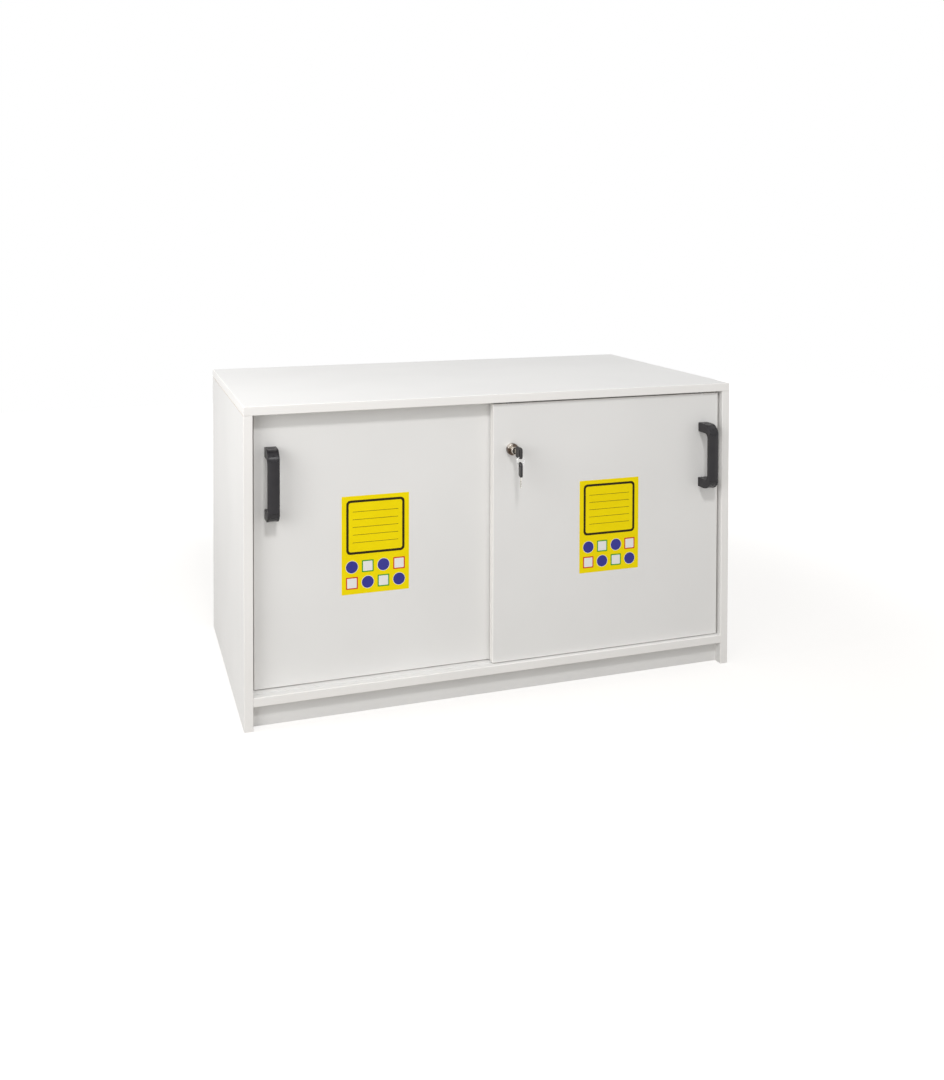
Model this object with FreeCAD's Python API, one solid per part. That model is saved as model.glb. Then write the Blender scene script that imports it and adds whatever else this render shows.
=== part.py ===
import FreeCAD, Part
import math
import os

from FreeCAD import Vector

# Low cabinet for acids and bases, with two sliding doors that pass each other. All sizes are in millimetres.
# X runs to the right, Y to the back and Z up. Here y starts at the front of the carcase. write() moves every
# piece, so that the origin is on the floor, under the middle of the whole object.

# Carcase
WIDTH = 1130.0
DEPTH = 620.0
HEIGHT = 665.0
BOARD = 19.0
EDGING = 2.0
ARRIS = 1.5
PLINTH_HEIGHT = 49.0
PLINTH_SETBACK = 22.7
PIPE_SPACE = 60.0
BACK_BOARD = 8.0
BACK_GROOVE = 6.0
BACK_PLAY = 0.5
PARTITION_GAP = 8.0

# Sliding doors: the right one runs in front of the left one
DOOR_THICKNESS = 19.0
DOOR_RECESS = 10.0
DOOR_SPACING = 6.0
DOOR_SIDE_GAP = 6.0
DOOR_FLOOR_GAP = 1.8
DOOR_TOP_GAP = 4.0
DOOR_PAST_MIDDLE = 24.0
DOOR_OVERLAP = 84.0
DOOR_CLEAR_OF_HANDLE = 4.5

# Rollers in the doors' lower edges, and the flush tracks that they run in
ROLLER_RADIUS = 11.8
ROLLER_WIDTH = 6.0
ROLLER_TIP = 0.4
ROLLER_HUB_RADIUS = 3.8
ROLLER_WEB = 3.6
ROLLER_RIM = 1.8
ROLLER_SIDE_GAP = 0.5
ROLLER_ROUND_GAP = 1.2
ROLLER_TRACK_GAP = 0.3
ROLLER_INSET = 70.0
ROLLER_PIN_RADIUS = 2.0
ROLLER_PIN_PLAY = 0.05
TRACK_WIDTH = 9.0
TRACK_DEPTH = 6.0
TRACK_GROOVE_DEPTH = 2.5
TRACK_END_GAP = 0.5
HOUSING_WIDTH = 12.0
HOUSING_END = 9.0
HOUSING_ROOF = 3.2
FLANGE_REACH = 11.0
FLANGE_THICKNESS = 2.5
HOUSING_SCREW_REACH = 4.5
HOUSING_SCREW_RADIUS = 1.75
HOUSING_PLAY = 0.1

# Sprung guides in the doors' upper edges, and the channels that they run in
GUIDE_RADIUS = 4.0
GUIDE_PLAY = 0.1
GUIDE_REACH = 6.0
GUIDE_IN_DOOR = 22.0
GUIDE_TIP_ROUND = 1.5
GUIDE_INSET = 40.0
GUIDE_TRAVEL = 10.5
GUIDE_TAB_HEIGHT = 4.0
GUIDE_TAB_WIDTH = 3.8
GUIDE_TAB_REACH = 2.0
GUIDE_TAB_PLAY = 0.2
SOCKET_RADIUS = 7.0
SOCKET_DEPTH = 40.0
SOCKET_FLOOR = 2.0
CHANNEL_WIDTH = 12.0
CHANNEL_DEPTH = 10.0
CHANNEL_WALL = 1.4
STOP_LENGTH = 20.0
STOP_GAP = 0.4

# Bridge handles
HANDLE_LENGTH = 150.0
HANDLE_WIDTH = 24.5
HANDLE_REACH = 51.0
HANDLE_BAR = 12.0
HANDLE_LEG = 21.0
HANDLE_OUTER_ROUND = 28.0
HANDLE_INNER_ROUND = 11.0
HANDLE_CROWN = 2.6
HANDLE_ARRIS = 1.4
HANDLE_BELOW_DOOR_TOP = 67.6
FRONT_HANDLE_INSET = 27.5
REAR_HANDLE_INSET = 22.0
CAP_WALL = 2.5
CAP_SIDE = 2.2
CAP_GAP = 0.3
CAP_FOOT = 16.0
CAP_ON_BAR = 22.0
CAP_RIM = 1.8
CAP_RECESS = 0.5
CAP_DIMPLE_RADIUS = 2.0
CAP_DIMPLE_FROM_END = 11.0
HANDLE_SCREW_RADIUS = 2.2
HANDLE_SCREW_PLAY = 0.2
HANDLE_SCREW_HEAD_RADIUS = 4.4
HANDLE_SCREW_HEAD = 3.0
HANDLE_SCREW_COVER = 4.0
HANDLE_SCREW_WELL_RADIUS = 5.2
HANDLE_FLOOR = 4.0

# Push lock in the front door
LOCK_INSET = 43.5
LOCK_BELOW_DOOR_TOP = 100.3
COLLAR_RADIUS = 13.0
COLLAR_REACH = 10.0
COLLAR_ROUND = 1.6
LOCK_BODY_RADIUS = 10.5
LOCK_BODY_PLAY = 0.1
LOCK_BACK_WALL = 3.0
BARREL_RADIUS = 8.45
BARREL_PLAY = 0.05
BARREL_TRAVEL = 14.0
BARREL_END_GAP = 2.0
BARREL_ROUND = 0.9
BOLT_RADIUS = 4.5
BOLT_PLAY = 0.5
BOLT_OFF_REAR_DOOR = 0.5
PLUG_RADIUS = 5.5
PLUG_PLAY = 0.05
PLUG_WALL = 2.0
PLUG_END_GAP = 0.2
STRIKE_WIDTH = 24.0
STRIKE_HEIGHT = 48.0
STRIKE_THICKNESS = 3.5
STRIKE_CORNER = 4.0
STRIKE_SCREW_SPACING = 32.0
STRIKE_SCREW_RADIUS = 1.6
STRIKE_SCREW_HEAD_RADIUS = 3.3
STRIKE_SCREW_HEAD = 1.8
STRIKE_SCREW_LENGTH = 15.0

# Key in the lock, its ring and the spare key
BLADE_THICKNESS = 2.0
BLADE_HEIGHT = 7.5
BLADE_PLAY = 0.1
BLADE_END_GAP = 2.0
NECK_HEIGHT = 9.6
NECK_GAP = 1.0
BIT_PITCH = 3.4
BIT_DEPTHS = (1.2, 2.0, 0.8, 1.6)
GRIP_LENGTH = 31.0
GRIP_HEIGHT = 24.0
GRIP_THICKNESS = 5.0
GRIP_CORNER = 6.0
GRIP_ARRIS = 0.9
GRIP_FROM_BARREL = 5.0
GRIP_OVER_BLADE = 12.0
SLOT_WIDTH = 5.6
SLOT_LENGTH = 17.6
SLOT_FROM_END = 6.0
RING_RADIUS = 8.6
RING_WIRE = 0.9
RING_PLAY = 0.7
SPARE_PLAY = 0.55
SPARE_TURN = 11.0

# Inside: shelves, trays and vents
SHELF_HEIGHT = 350.0
SHELF_FRONT = 70.0
SHELF_BACK_GAP = 2.0
SHELF_SIDE_GAP = 1.2
SHELF_PIN_RADIUS = 2.5
SHELF_PIN_DEPTH = 8.0
SHELF_PIN_REACH = 8.0
SHELF_PIN_COLLAR_RADIUS = 4.0
SHELF_PIN_COLLAR = 1.0
SHELF_PIN_INSET = 45.0
SHELF_HOLE_PITCH = 32.0
SHELF_HOLE_ROWS = (-2, -1, 0, 1, 2)
TRAY_SIDE_GAP = 8.0
TRAY_END_GAP = 7.0
TRAY_WALL = 3.0
TRAY_RIM = 9.0
TRAY_DRAFT = 6.0
TRAY_CORNER = 26.0
FLOOR_TRAY_HEIGHT = 60.0
SHELF_TRAY_HEIGHT = 40.0
SPIGOT_RADIUS = 50.0
SPIGOT_WALL = 3.0
SPIGOT_REACH = 45.0
SPIGOT_FLANGE_RADIUS = 66.0
SPIGOT_FLANGE = 3.0
SPIGOT_PLAY = 0.3
SPIGOT_BELOW_TOP = 86.0
SPIGOT_SCREW_COUNT = 4
SPIGOT_SCREW_RADIUS = 1.7
SPIGOT_SCREW_HEAD_RADIUS = 3.6
SPIGOT_SCREW_HEAD = 2.4
SPIGOT_SCREW_DEPTH = 6.0

# Fixings that hold the boards together
CAM_RADIUS = 7.5
CAM_DEPTH = 12.5
CAM_FROM_EDGE = 34.0
CAM_BOLT_RADIUS = 3.5
CAM_BOLT_START = 2.0
DOWEL_RADIUS = 4.0
DOWEL_LENGTH = 30.0
FIXING_DEPTH = 11.0
CAM_FROM_ENDS = 100.0
DOWEL_FROM_ENDS = 62.0

# Places that follow from the sizes above
INNER = WIDTH / 2 - BOARD
FLOOR_TOP = PLINTH_HEIGHT + BOARD
CEILING = HEIGHT - BOARD
BACK_REAR = DEPTH - PIPE_SPACE
BACK_FRONT = BACK_REAR - BACK_BOARD
FRONT_DOOR_Y = DOOR_RECESS
REAR_DOOR_Y = FRONT_DOOR_Y + DOOR_THICKNESS + DOOR_SPACING
DOOR_BOTTOM = FLOOR_TOP + DOOR_FLOOR_GAP
DOOR_TOP = CEILING - DOOR_TOP_GAP
FRONT_DOOR_X = (-DOOR_PAST_MIDDLE, INNER - DOOR_SIDE_GAP)
REAR_DOOR_X = (DOOR_SIDE_GAP - INNER, DOOR_OVERLAP - DOOR_PAST_MIDDLE)
PARTITION_FRONT = REAR_DOOR_Y + DOOR_THICKNESS + PARTITION_GAP
FRONT_HANDLE_X = FRONT_DOOR_X[1] - FRONT_HANDLE_INSET - HANDLE_WIDTH / 2
REAR_HANDLE_X = REAR_DOOR_X[0] + REAR_HANDLE_INSET + HANDLE_WIDTH / 2
HANDLE_Z = DOOR_TOP - HANDLE_BELOW_DOOR_TOP - HANDLE_LENGTH
DOOR_TRAVEL = FRONT_DOOR_X[0] - (REAR_HANDLE_X + HANDLE_WIDTH / 2) - DOOR_CLEAR_OF_HANDLE
LOCK_X = FRONT_DOOR_X[0] + LOCK_INSET
LOCK_Z = DOOR_TOP - LOCK_BELOW_DOOR_TOP
BARREL_LENGTH = COLLAR_REACH + DOOR_THICKNESS - LOCK_BACK_WALL - BARREL_END_GAP
BARREL_FRONT = FRONT_DOOR_Y - COLLAR_REACH - BARREL_TRAVEL
GRIP_INNER_END = BARREL_FRONT - GRIP_FROM_BARREL
SLOT_Y = GRIP_INNER_END - GRIP_LENGTH + SLOT_FROM_END
RING_TOP = LOCK_Z - SLOT_LENGTH / 2 + RING_WIRE + RING_PLAY
RING_BOTTOM = RING_TOP - 2 * RING_RADIUS
SPARE_HALF_WIDTH = GRIP_HEIGHT / 2 * math.cos(math.radians(SPARE_TURN))
SPARE_HALF_WIDTH += GRIP_THICKNESS / 2 * math.sin(math.radians(SPARE_TURN))
FOREMOST = SLOT_Y - SPARE_HALF_WIDTH
ORIGIN_Y = (FOREMOST + DEPTH) / 2
ROLLER_AXIS = FLOOR_TOP - TRACK_GROOVE_DEPTH + ROLLER_TRACK_GAP + ROLLER_RADIUS
ROLLER_ROOM = ROLLER_RADIUS + ROLLER_ROUND_GAP
HOUSING_LENGTH = 2 * (ROLLER_ROOM + HOUSING_END)
HOUSING_HEIGHT = ROLLER_AXIS + ROLLER_ROOM + HOUSING_ROOF - DOOR_BOTTOM
FLANGE_LENGTH = HOUSING_LENGTH + 2 * FLANGE_REACH
HOUSING_SCREW_SPACING = HOUSING_LENGTH + 2 * HOUSING_SCREW_REACH
COMPARTMENT_MIDDLE = (INNER + BOARD / 2) / 2
COMPARTMENT_WIDTH = INNER - BOARD / 2

os.makedirs("parts", exist_ok=True)

LEFT, RIGHT, FRONT, BACK, UNDER, OVER = (0, 0), (0, 1), (1, 0), (1, 1), (2, 0), (2, 1)
X, Y, Z = Vector(1, 0, 0), Vector(0, 1, 0), Vector(0, 0, 1)
CUT = 1.0


def block(x, y, z):
    """Box between two values on each axis."""
    return Part.makeBox(x[1] - x[0], y[1] - y[0], z[1] - z[0], Vector(x[0], y[0], z[0]))


def rod(radius, length, start, direction):
    """Cylinder from a point along a direction."""
    return Part.makeCylinder(radius, length, start, direction)


def turned(outline, centre, axis=Y):
    """Solid turned about a line along Y through the centre, from points of (radius, place along the axis)."""
    points = [centre + X * radius + axis * along for radius, along in outline]
    return Part.Face(Part.makePolygon(points + points[:1])).revolve(centre, axis, 360)


def rounded_rectangle(half_x, half_y, corner, centre):
    """Closed outline in a level plane, with a quarter circle at each corner."""
    straight_x, straight_y = half_x - corner, half_y - corner
    diagonal = corner * math.sqrt(0.5)
    edges = []
    for turn in range(4):
        a, b = (straight_x, straight_y) if turn % 2 == 0 else (straight_y, straight_x)
        points = [(a + corner, -b), (a + corner, b), (a + diagonal, b + diagonal), (a, b + corner)]
        angle = math.radians(90 * turn)
        cos, sin = math.cos(angle), math.sin(angle)
        placed = [centre + Vector(p * cos - q * sin, p * sin + q * cos, 0) for p, q in points]
        side, start, middle, end = placed
        if b > 1e-6:
            edges.append(Part.makeLine(side, start))
        edges.append(Part.Arc(start, middle, end).toShape())
    return Part.Wire(edges)


def rounded_block(half_x, half_y, corner, centre, height):
    """Upright block with rounded corners, standing on the centre point."""
    return Part.Face(rounded_rectangle(half_x, half_y, corner, centre)).extrude(Z * height)


def edges_in_plane(shape, axis, value):
    """Edges whose ends all lie at one value of an axis."""
    return [e for e in shape.Edges if all(abs(v.Point[axis] - value) < 1e-6 for v in e.Vertexes)]


def edged_board(x, y, z, edged, bare=()):
    """Board with edging strips on some faces: returns the board and its strips. The strips' outer arrises are
    rounded, and earlier strips in the list run past the later ones."""
    spans = (x, y, z)
    whole = block(x, y, z)
    planes = [(axis, spans[axis][side]) for axis, side in edged]
    raw = [(axis, spans[axis][side]) for axis, side in bare]
    arrises = []
    for axis, value in planes:
        for edge in edges_in_plane(whole, axis, value):
            ends_raw = any(all(abs(v.Point[a] - b) < 1e-6 for v in edge.Vertexes) for a, b in raw)
            if not ends_raw and not any(edge.isSame(other) for other in arrises):
                arrises.append(edge)
    rest = whole.makeFillet(ARRIS, arrises)
    strips = []
    for axis, side in edged:
        slab = [(low - CUT, high + CUT) for low, high in spans]
        outer = spans[axis][side]
        slab[axis] = (outer - CUT, outer + EDGING) if side == 0 else (outer - EDGING, outer + CUT)
        slab = block(*slab)
        strips.append(rest.common(slab))
        rest = rest.cut(slab)
    return rest, strips


def cut_all(shape, tools):
    """Shape with each tool cut away."""
    for tool in tools:
        shape = shape.cut(tool)
    return shape


def write(name, *shapes):
    """Writes the solids of one node, moved to the object's origin."""
    solids = [solid for shape in shapes for solid in shape.Solids]
    moved = [solid.translated(Vector(0, -ORIGIN_Y, 0)) for solid in solids]
    sound = all(solid.isValid() and solid.Volume > 0 for solid in moved)
    volume = sum(solid.Volume for solid in moved) / 1000
    print(f"{name}: {len(moved)} solid(s), {volume:.2f} cm3, {'sound' if sound else 'INVALID'}")
    group = moved[0] if len(moved) == 1 else Part.makeCompound(moved)
    group.exportStep(f"parts/{name}.step")


# Fixings
def cam_fitting(on_face, inward, towards):
    """Cam disc let into a board's face, and the bolt that it draws along the middle of the board."""
    middle = on_face + inward * (BOARD / 2)
    length = CAM_FROM_EDGE - CAM_BOLT_START + FIXING_DEPTH
    bolt = rod(CAM_BOLT_RADIUS, length, middle + towards * CAM_BOLT_START, towards)
    disc = rod(CAM_RADIUS, CAM_DEPTH, on_face, inward)
    return [disc.cut(bolt), bolt]


def dowel(on_joint, direction):
    """Dowel across a joint, deeper in the board that it stands in than in the board it points to."""
    return rod(DOWEL_RADIUS, DOWEL_LENGTH, on_joint - direction * (DOWEL_LENGTH - FIXING_DEPTH), direction)


cams = []
dowels = []
board_middle = INNER + BOARD / 2
floor_middle = PLINTH_HEIGHT + BOARD / 2
for sign in (-1, 1):
    outward = X * sign
    for y in (CAM_FROM_ENDS, DEPTH - CAM_FROM_ENDS):
        cams += cam_fitting(Vector(sign * INNER, y, CEILING - CAM_FROM_EDGE), outward, Z)
        cams += cam_fitting(Vector(sign * (INNER - CAM_FROM_EDGE), y, PLINTH_HEIGHT), Z, outward)
    for y in (DOWEL_FROM_ENDS, DEPTH - DOWEL_FROM_ENDS / 2):
        dowels.append(dowel(Vector(sign * board_middle, y, CEILING), Z))
        dowels.append(dowel(Vector(sign * INNER, y, floor_middle), outward))
    for y in (PLINTH_SETBACK + BOARD / 2, DEPTH - BOARD / 2):
        dowels.append(dowel(Vector(sign * INNER, y, PLINTH_HEIGHT / 2), outward))
for y in (PARTITION_FRONT + DOWEL_FROM_ENDS, BACK_FRONT - DOWEL_FROM_ENDS):
    dowels.append(dowel(Vector(0, y, CEILING), Z))
    dowels.append(dowel(Vector(0, y, FLOOR_TOP), Z * -1))
fixings = cams + dowels


# Shelf pins, and the rows of holes that they stand in
def shelf_pin(wall, y, z, inward):
    """Pin pushed into a wall: shank, collar against the wall and peg. inward points out of the wall."""
    mouth = Vector(wall, y, z)
    start = mouth - inward * SHELF_PIN_DEPTH
    shank = rod(SHELF_PIN_RADIUS, SHELF_PIN_DEPTH + SHELF_PIN_REACH, start, inward)
    return shank.fuse(rod(SHELF_PIN_COLLAR_RADIUS, SHELF_PIN_COLLAR, mouth, inward))


SHELF_BACK = BACK_FRONT - SHELF_BACK_GAP
shelf_pin_z = SHELF_HEIGHT - SHELF_PIN_RADIUS
shelf_pins = []
pin_holes = []
for wall, inward in ((-INNER, X), (-BOARD / 2, X * -1), (BOARD / 2, X), (INNER, X * -1)):
    for y in (SHELF_FRONT + SHELF_PIN_INSET, SHELF_BACK - SHELF_PIN_INSET):
        shelf_pins.append(shelf_pin(wall, y, shelf_pin_z, inward))
        for row in SHELF_HOLE_ROWS:
            mouth = Vector(wall, y, shelf_pin_z + row * SHELF_HOLE_PITCH)
            pin_holes.append(rod(SHELF_PIN_RADIUS, SHELF_PIN_DEPTH, mouth, inward * -1))


# Carcase boards
back_groove = block(
    (-INNER - BACK_GROOVE, INNER + BACK_GROOVE),
    (BACK_FRONT, BACK_REAR),
    (FLOOR_TOP - BACK_GROOVE, CEILING + BACK_GROOVE),
)
front_line = FRONT_DOOR_Y + DOOR_THICKNESS / 2
rear_line = REAR_DOOR_Y + DOOR_THICKNESS / 2
track_grooves = []
channel_grooves = []
for line in (front_line, rear_line):
    track_y = (line - TRACK_WIDTH / 2, line + TRACK_WIDTH / 2)
    track_grooves.append(block((-INNER, INNER), track_y, (FLOOR_TOP - TRACK_DEPTH, FLOOR_TOP)))
    channel_y = (line - CHANNEL_WIDTH / 2, line + CHANNEL_WIDTH / 2)
    channel_grooves.append(block((-INNER, INNER), channel_y, (CEILING, CEILING + CHANNEL_DEPTH)))

top, top_strips = edged_board(
    (-WIDTH / 2, WIDTH / 2), (0, DEPTH), (CEILING, HEIGHT), (FRONT, LEFT, RIGHT), bare=(BACK,)
)
sides = []
side_strips = []
for sign in (-1, 1):
    x = sorted((sign * INNER, sign * WIDTH / 2))
    board, strips = edged_board(x, (0, DEPTH), (0, CEILING), (FRONT,), bare=(UNDER, OVER))
    sides.append(cut_all(board, [back_groove] + fixings + pin_holes))
    side_strips += strips
bottom, bottom_strips = edged_board(
    (-INNER, INNER), (0, DEPTH), (PLINTH_HEIGHT, FLOOR_TOP), (FRONT,), bare=(LEFT, RIGHT)
)
top = cut_all(top, [back_groove] + channel_grooves + fixings)
bottom = cut_all(bottom, [back_groove] + track_grooves + fixings)
kickboard = block((-INNER, INNER), (PLINTH_SETBACK, PLINTH_SETBACK + BOARD), (0, PLINTH_HEIGHT))
rear_rail = block((-INNER, INNER), (DEPTH - BOARD, DEPTH), (0, PLINTH_HEIGHT))
partition, partition_strips = edged_board(
    (-BOARD / 2, BOARD / 2), (PARTITION_FRONT, BACK_FRONT), (FLOOR_TOP, CEILING), (FRONT,), bare=(UNDER, OVER)
)

write("top_panel", top)
write("top_edging", *top_strips)
write("left_side", sides[0])
write("right_side", sides[1])
write("side_edging", *side_strips)
write("bottom_panel", bottom)
write("bottom_edging", *bottom_strips)
write("kickboard", cut_all(kickboard, fixings))
write("rear_plinth_rail", cut_all(rear_rail, fixings))
write("centre_partition", cut_all(partition, fixings + pin_holes))
write("cam_fittings", *cams)
write("carcase_dowels", *dowels)
write("shelf_pins", *shelf_pins)


# Back board and the vent spigots that pass through it
def spigot(x, z):
    """Duct spigot: a tube through the back board, with a flange against the board's rear face."""
    mouth = BACK_REAR + SPIGOT_REACH
    outline = [
        (SPIGOT_RADIUS - SPIGOT_WALL, BACK_FRONT),
        (SPIGOT_RADIUS, BACK_FRONT),
        (SPIGOT_RADIUS, BACK_REAR),
        (SPIGOT_FLANGE_RADIUS, BACK_REAR),
        (SPIGOT_FLANGE_RADIUS, BACK_REAR + SPIGOT_FLANGE),
        (SPIGOT_RADIUS, BACK_REAR + SPIGOT_FLANGE),
        (SPIGOT_RADIUS, mouth),
        (SPIGOT_RADIUS - SPIGOT_WALL, mouth),
    ]
    return turned(outline, Vector(x, 0, z))


def spigot_screws(x, z):
    """Screws through the flange into the back board."""
    circle = (SPIGOT_RADIUS + SPIGOT_FLANGE_RADIUS) / 2
    screws = []
    for number in range(SPIGOT_SCREW_COUNT):
        angle = math.radians((number + 0.5) * 360 / SPIGOT_SCREW_COUNT)
        seat = Vector(x + circle * math.cos(angle), BACK_REAR + SPIGOT_FLANGE, z + circle * math.sin(angle))
        shank = rod(SPIGOT_SCREW_RADIUS, SPIGOT_FLANGE + SPIGOT_SCREW_DEPTH, seat, Y * -1)
        screws.append(shank.fuse(rod(SPIGOT_SCREW_HEAD_RADIUS, SPIGOT_SCREW_HEAD, seat, Y)))
    return screws


back = block(
    (-INNER - BACK_GROOVE + BACK_PLAY, INNER + BACK_GROOVE - BACK_PLAY),
    (BACK_FRONT, BACK_REAR),
    (FLOOR_TOP - BACK_GROOVE + BACK_PLAY, CEILING + BACK_GROOVE - BACK_PLAY),
)
spigot_z = CEILING - SPIGOT_BELOW_TOP
spigots = []
vent_screws = []
for sign in (-1, 1):
    x = sign * COMPARTMENT_MIDDLE
    screws = spigot_screws(x, spigot_z)
    spigots.append(cut_all(spigot(x, spigot_z), screws))
    vent_screws += screws
    back = back.cut(rod(SPIGOT_RADIUS + SPIGOT_PLAY, BACK_BOARD, Vector(x, BACK_FRONT, spigot_z), Y))
write("back_panel", cut_all(back, vent_screws))
write("vent_spigots", *spigots)
write("spigot_screws", *vent_screws)


# Shelves and retention trays
def tray(x, y, z, half_x, half_y, height):
    """Moulded tray with leaning walls, rounded corners and a level rim."""
    top_x, top_y = half_x - TRAY_RIM, half_y - TRAY_RIM
    foot, mouth = Vector(x, y, z), Vector(x, y, z + height)
    lift = Z * TRAY_WALL
    shells = []
    for inset, start, end in ((0, foot, mouth), (TRAY_WALL, foot + lift, mouth + lift)):
        x_at_top, y_at_top, corner = top_x - inset, top_y - inset, TRAY_CORNER - inset
        low = rounded_rectangle(x_at_top - TRAY_DRAFT, y_at_top - TRAY_DRAFT, corner, start)
        high = rounded_rectangle(x_at_top, y_at_top, corner, end)
        shells.append(Part.makeLoft([low, high], True, True))
    rim = rounded_block(half_x, half_y, TRAY_CORNER + TRAY_RIM, mouth - lift, TRAY_WALL)
    return shells[0].fuse(rim).cut(shells[1]).removeSplitter()


shelf_strips = list(partition_strips)
for name, sign in (("left", -1), ("right", 1)):
    middle = sign * COMPARTMENT_MIDDLE
    half = COMPARTMENT_WIDTH / 2
    shelf, strips = edged_board(
        (middle - half + SHELF_SIDE_GAP, middle + half - SHELF_SIDE_GAP),
        (SHELF_FRONT, SHELF_BACK),
        (SHELF_HEIGHT, SHELF_HEIGHT + BOARD),
        (FRONT,),
        bare=(LEFT, RIGHT),
    )
    shelf_strips += strips
    write(f"{name}_shelf", shelf)
    tray_y = (SHELF_FRONT + SHELF_BACK) / 2
    half_x = half - TRAY_SIDE_GAP
    half_y = (SHELF_BACK - SHELF_FRONT) / 2 - TRAY_END_GAP
    write(f"{name}_floor_tray", tray(middle, tray_y, FLOOR_TOP, half_x, half_y, FLOOR_TRAY_HEIGHT))
    write(f"{name}_shelf_tray", tray(middle, tray_y, SHELF_HEIGHT + BOARD, half_x, half_y, SHELF_TRAY_HEIGHT))
write("inner_edging", *shelf_strips)


# Tracks in the floor, channels under the top and the stops at the channels' ends
def track(line):
    """Flush strip with a V-shaped groove for the rollers' rims."""
    strip = block(
        (-INNER + TRACK_END_GAP, INNER - TRACK_END_GAP),
        (line - TRACK_WIDTH / 2, line + TRACK_WIDTH / 2),
        (FLOOR_TOP - TRACK_DEPTH, FLOOR_TOP),
    )
    low, high = FLOOR_TOP - TRACK_GROOVE_DEPTH, FLOOR_TOP
    mouth = ROLLER_TIP + TRACK_GROOVE_DEPTH
    outline = [(-mouth, high), (-ROLLER_TIP, low), (ROLLER_TIP, low), (mouth, high)]
    points = [Vector(-INNER, line + y, z) for y, z in outline]
    return strip.cut(Part.Face(Part.makePolygon(points + points[:1])).extrude(X * (2 * INNER)))


def channel(line):
    """Channel open downwards, let into the top board."""
    x = (-INNER + TRACK_END_GAP, INNER - TRACK_END_GAP)
    half = CHANNEL_WIDTH / 2
    inside = half - CHANNEL_WALL
    roof = CEILING + CHANNEL_DEPTH - CHANNEL_WALL
    outer = block(x, (line - half, line + half), (CEILING, CEILING + CHANNEL_DEPTH))
    hollow = block((x[0] - CUT, x[1] + CUT), (line - inside, line + inside), (CEILING - CUT, roof))
    return outer.cut(hollow)


def channel_stop(line, near, sign):
    """Block fixed in a channel, with its near face at one end of a guide's travel."""
    inside = CHANNEL_WIDTH / 2 - CHANNEL_WALL
    x = sorted((near, near + sign * STOP_LENGTH))
    return block(x, (line - inside, line + inside), (CEILING, CEILING + CHANNEL_DEPTH - CHANNEL_WALL))


guide_margin = GUIDE_RADIUS + STOP_GAP
front_guides = (FRONT_DOOR_X[0] + GUIDE_INSET, FRONT_DOOR_X[1] - GUIDE_INSET)
rear_guides = (REAR_DOOR_X[0] + GUIDE_INSET, REAR_DOOR_X[1] - GUIDE_INSET)
write("bottom_tracks", track(front_line), track(rear_line))
write("top_channels", channel(front_line), channel(rear_line))
write(
    "channel_stops",
    channel_stop(front_line, front_guides[1] + guide_margin, 1),
    channel_stop(front_line, front_guides[0] - DOOR_TRAVEL - guide_margin, -1),
    channel_stop(rear_line, rear_guides[0] - guide_margin, -1),
    channel_stop(rear_line, rear_guides[1] + DOOR_TRAVEL + guide_margin, 1),
)


# Rollers
def roller(x, line):
    """Wheel with a V-shaped rim, hub and web."""
    half = ROLLER_WIDTH / 2
    shoulder = ROLLER_RADIUS - (half - ROLLER_TIP)
    rim = shoulder - ROLLER_RIM
    bore = ROLLER_PIN_RADIUS + ROLLER_PIN_PLAY
    web = ROLLER_WEB / 2
    side = [(bore, half), (ROLLER_HUB_RADIUS, half), (ROLLER_HUB_RADIUS, web)]
    side += [(rim, web), (rim, half), (shoulder, half), (ROLLER_RADIUS, ROLLER_TIP)]
    outline = side + [(radius, -along) for radius, along in reversed(side)]
    return turned(outline, Vector(x, line, ROLLER_AXIS))


def roller_housing(x, line):
    """Housing block with a screw flange, let into a door's lower edge."""
    base = Vector(x, line, DOOR_BOTTOM)
    half = HOUSING_WIDTH / 2
    body = rounded_block(HOUSING_LENGTH / 2, half, half, base, HOUSING_HEIGHT)
    body = body.fuse(rounded_block(FLANGE_LENGTH / 2, half, half, base, FLANGE_THICKNESS)).removeSplitter()
    slot_half = ROLLER_WIDTH / 2 + ROLLER_SIDE_GAP
    slot_y = (line - slot_half, line + slot_half)
    slot = block((x - ROLLER_ROOM, x + ROLLER_ROOM), slot_y, (DOOR_BOTTOM - CUT, ROLLER_AXIS + ROLLER_ROOM))
    body = body.cut(slot).cut(roller_pin(x, line))
    for sign in (-1, 1):
        screw = base + X * (sign * HOUSING_SCREW_SPACING / 2)
        body = body.cut(rod(HOUSING_SCREW_RADIUS, FLANGE_THICKNESS, screw, Z))
    return body


def roller_pin(x, line):
    """Axle pin that the roller turns on, pressed into the housing's walls."""
    return rod(ROLLER_PIN_RADIUS, HOUSING_WIDTH, Vector(x, line - HOUSING_WIDTH / 2, ROLLER_AXIS), Y)


def roller_pocket(x, line):
    """Room in the door's lower edge for a roller housing."""
    base = Vector(x, line, DOOR_BOTTOM - CUT)
    half = HOUSING_WIDTH / 2 + HOUSING_PLAY
    height = HOUSING_HEIGHT + HOUSING_PLAY + CUT
    deep = rounded_block(HOUSING_LENGTH / 2 + HOUSING_PLAY, half, half, base, height)
    shallow = rounded_block(FLANGE_LENGTH / 2 + HOUSING_PLAY, half, half, base, FLANGE_THICKNESS + CUT)
    return deep.fuse(shallow)


# Sprung guides
def guide_slot(x, line):
    """Slot for the guide's thumb tab, through the socket and the back of the door."""
    tab_low = DOOR_TOP - GUIDE_IN_DOOR
    half = GUIDE_TAB_WIDTH / 2 + GUIDE_TAB_PLAY
    low = tab_low - GUIDE_TRAVEL - GUIDE_TAB_PLAY
    slot_y = (line, line + DOOR_THICKNESS / 2 + CUT)
    return block((x - half, x + half), slot_y, (low, tab_low + GUIDE_TAB_HEIGHT))


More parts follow.
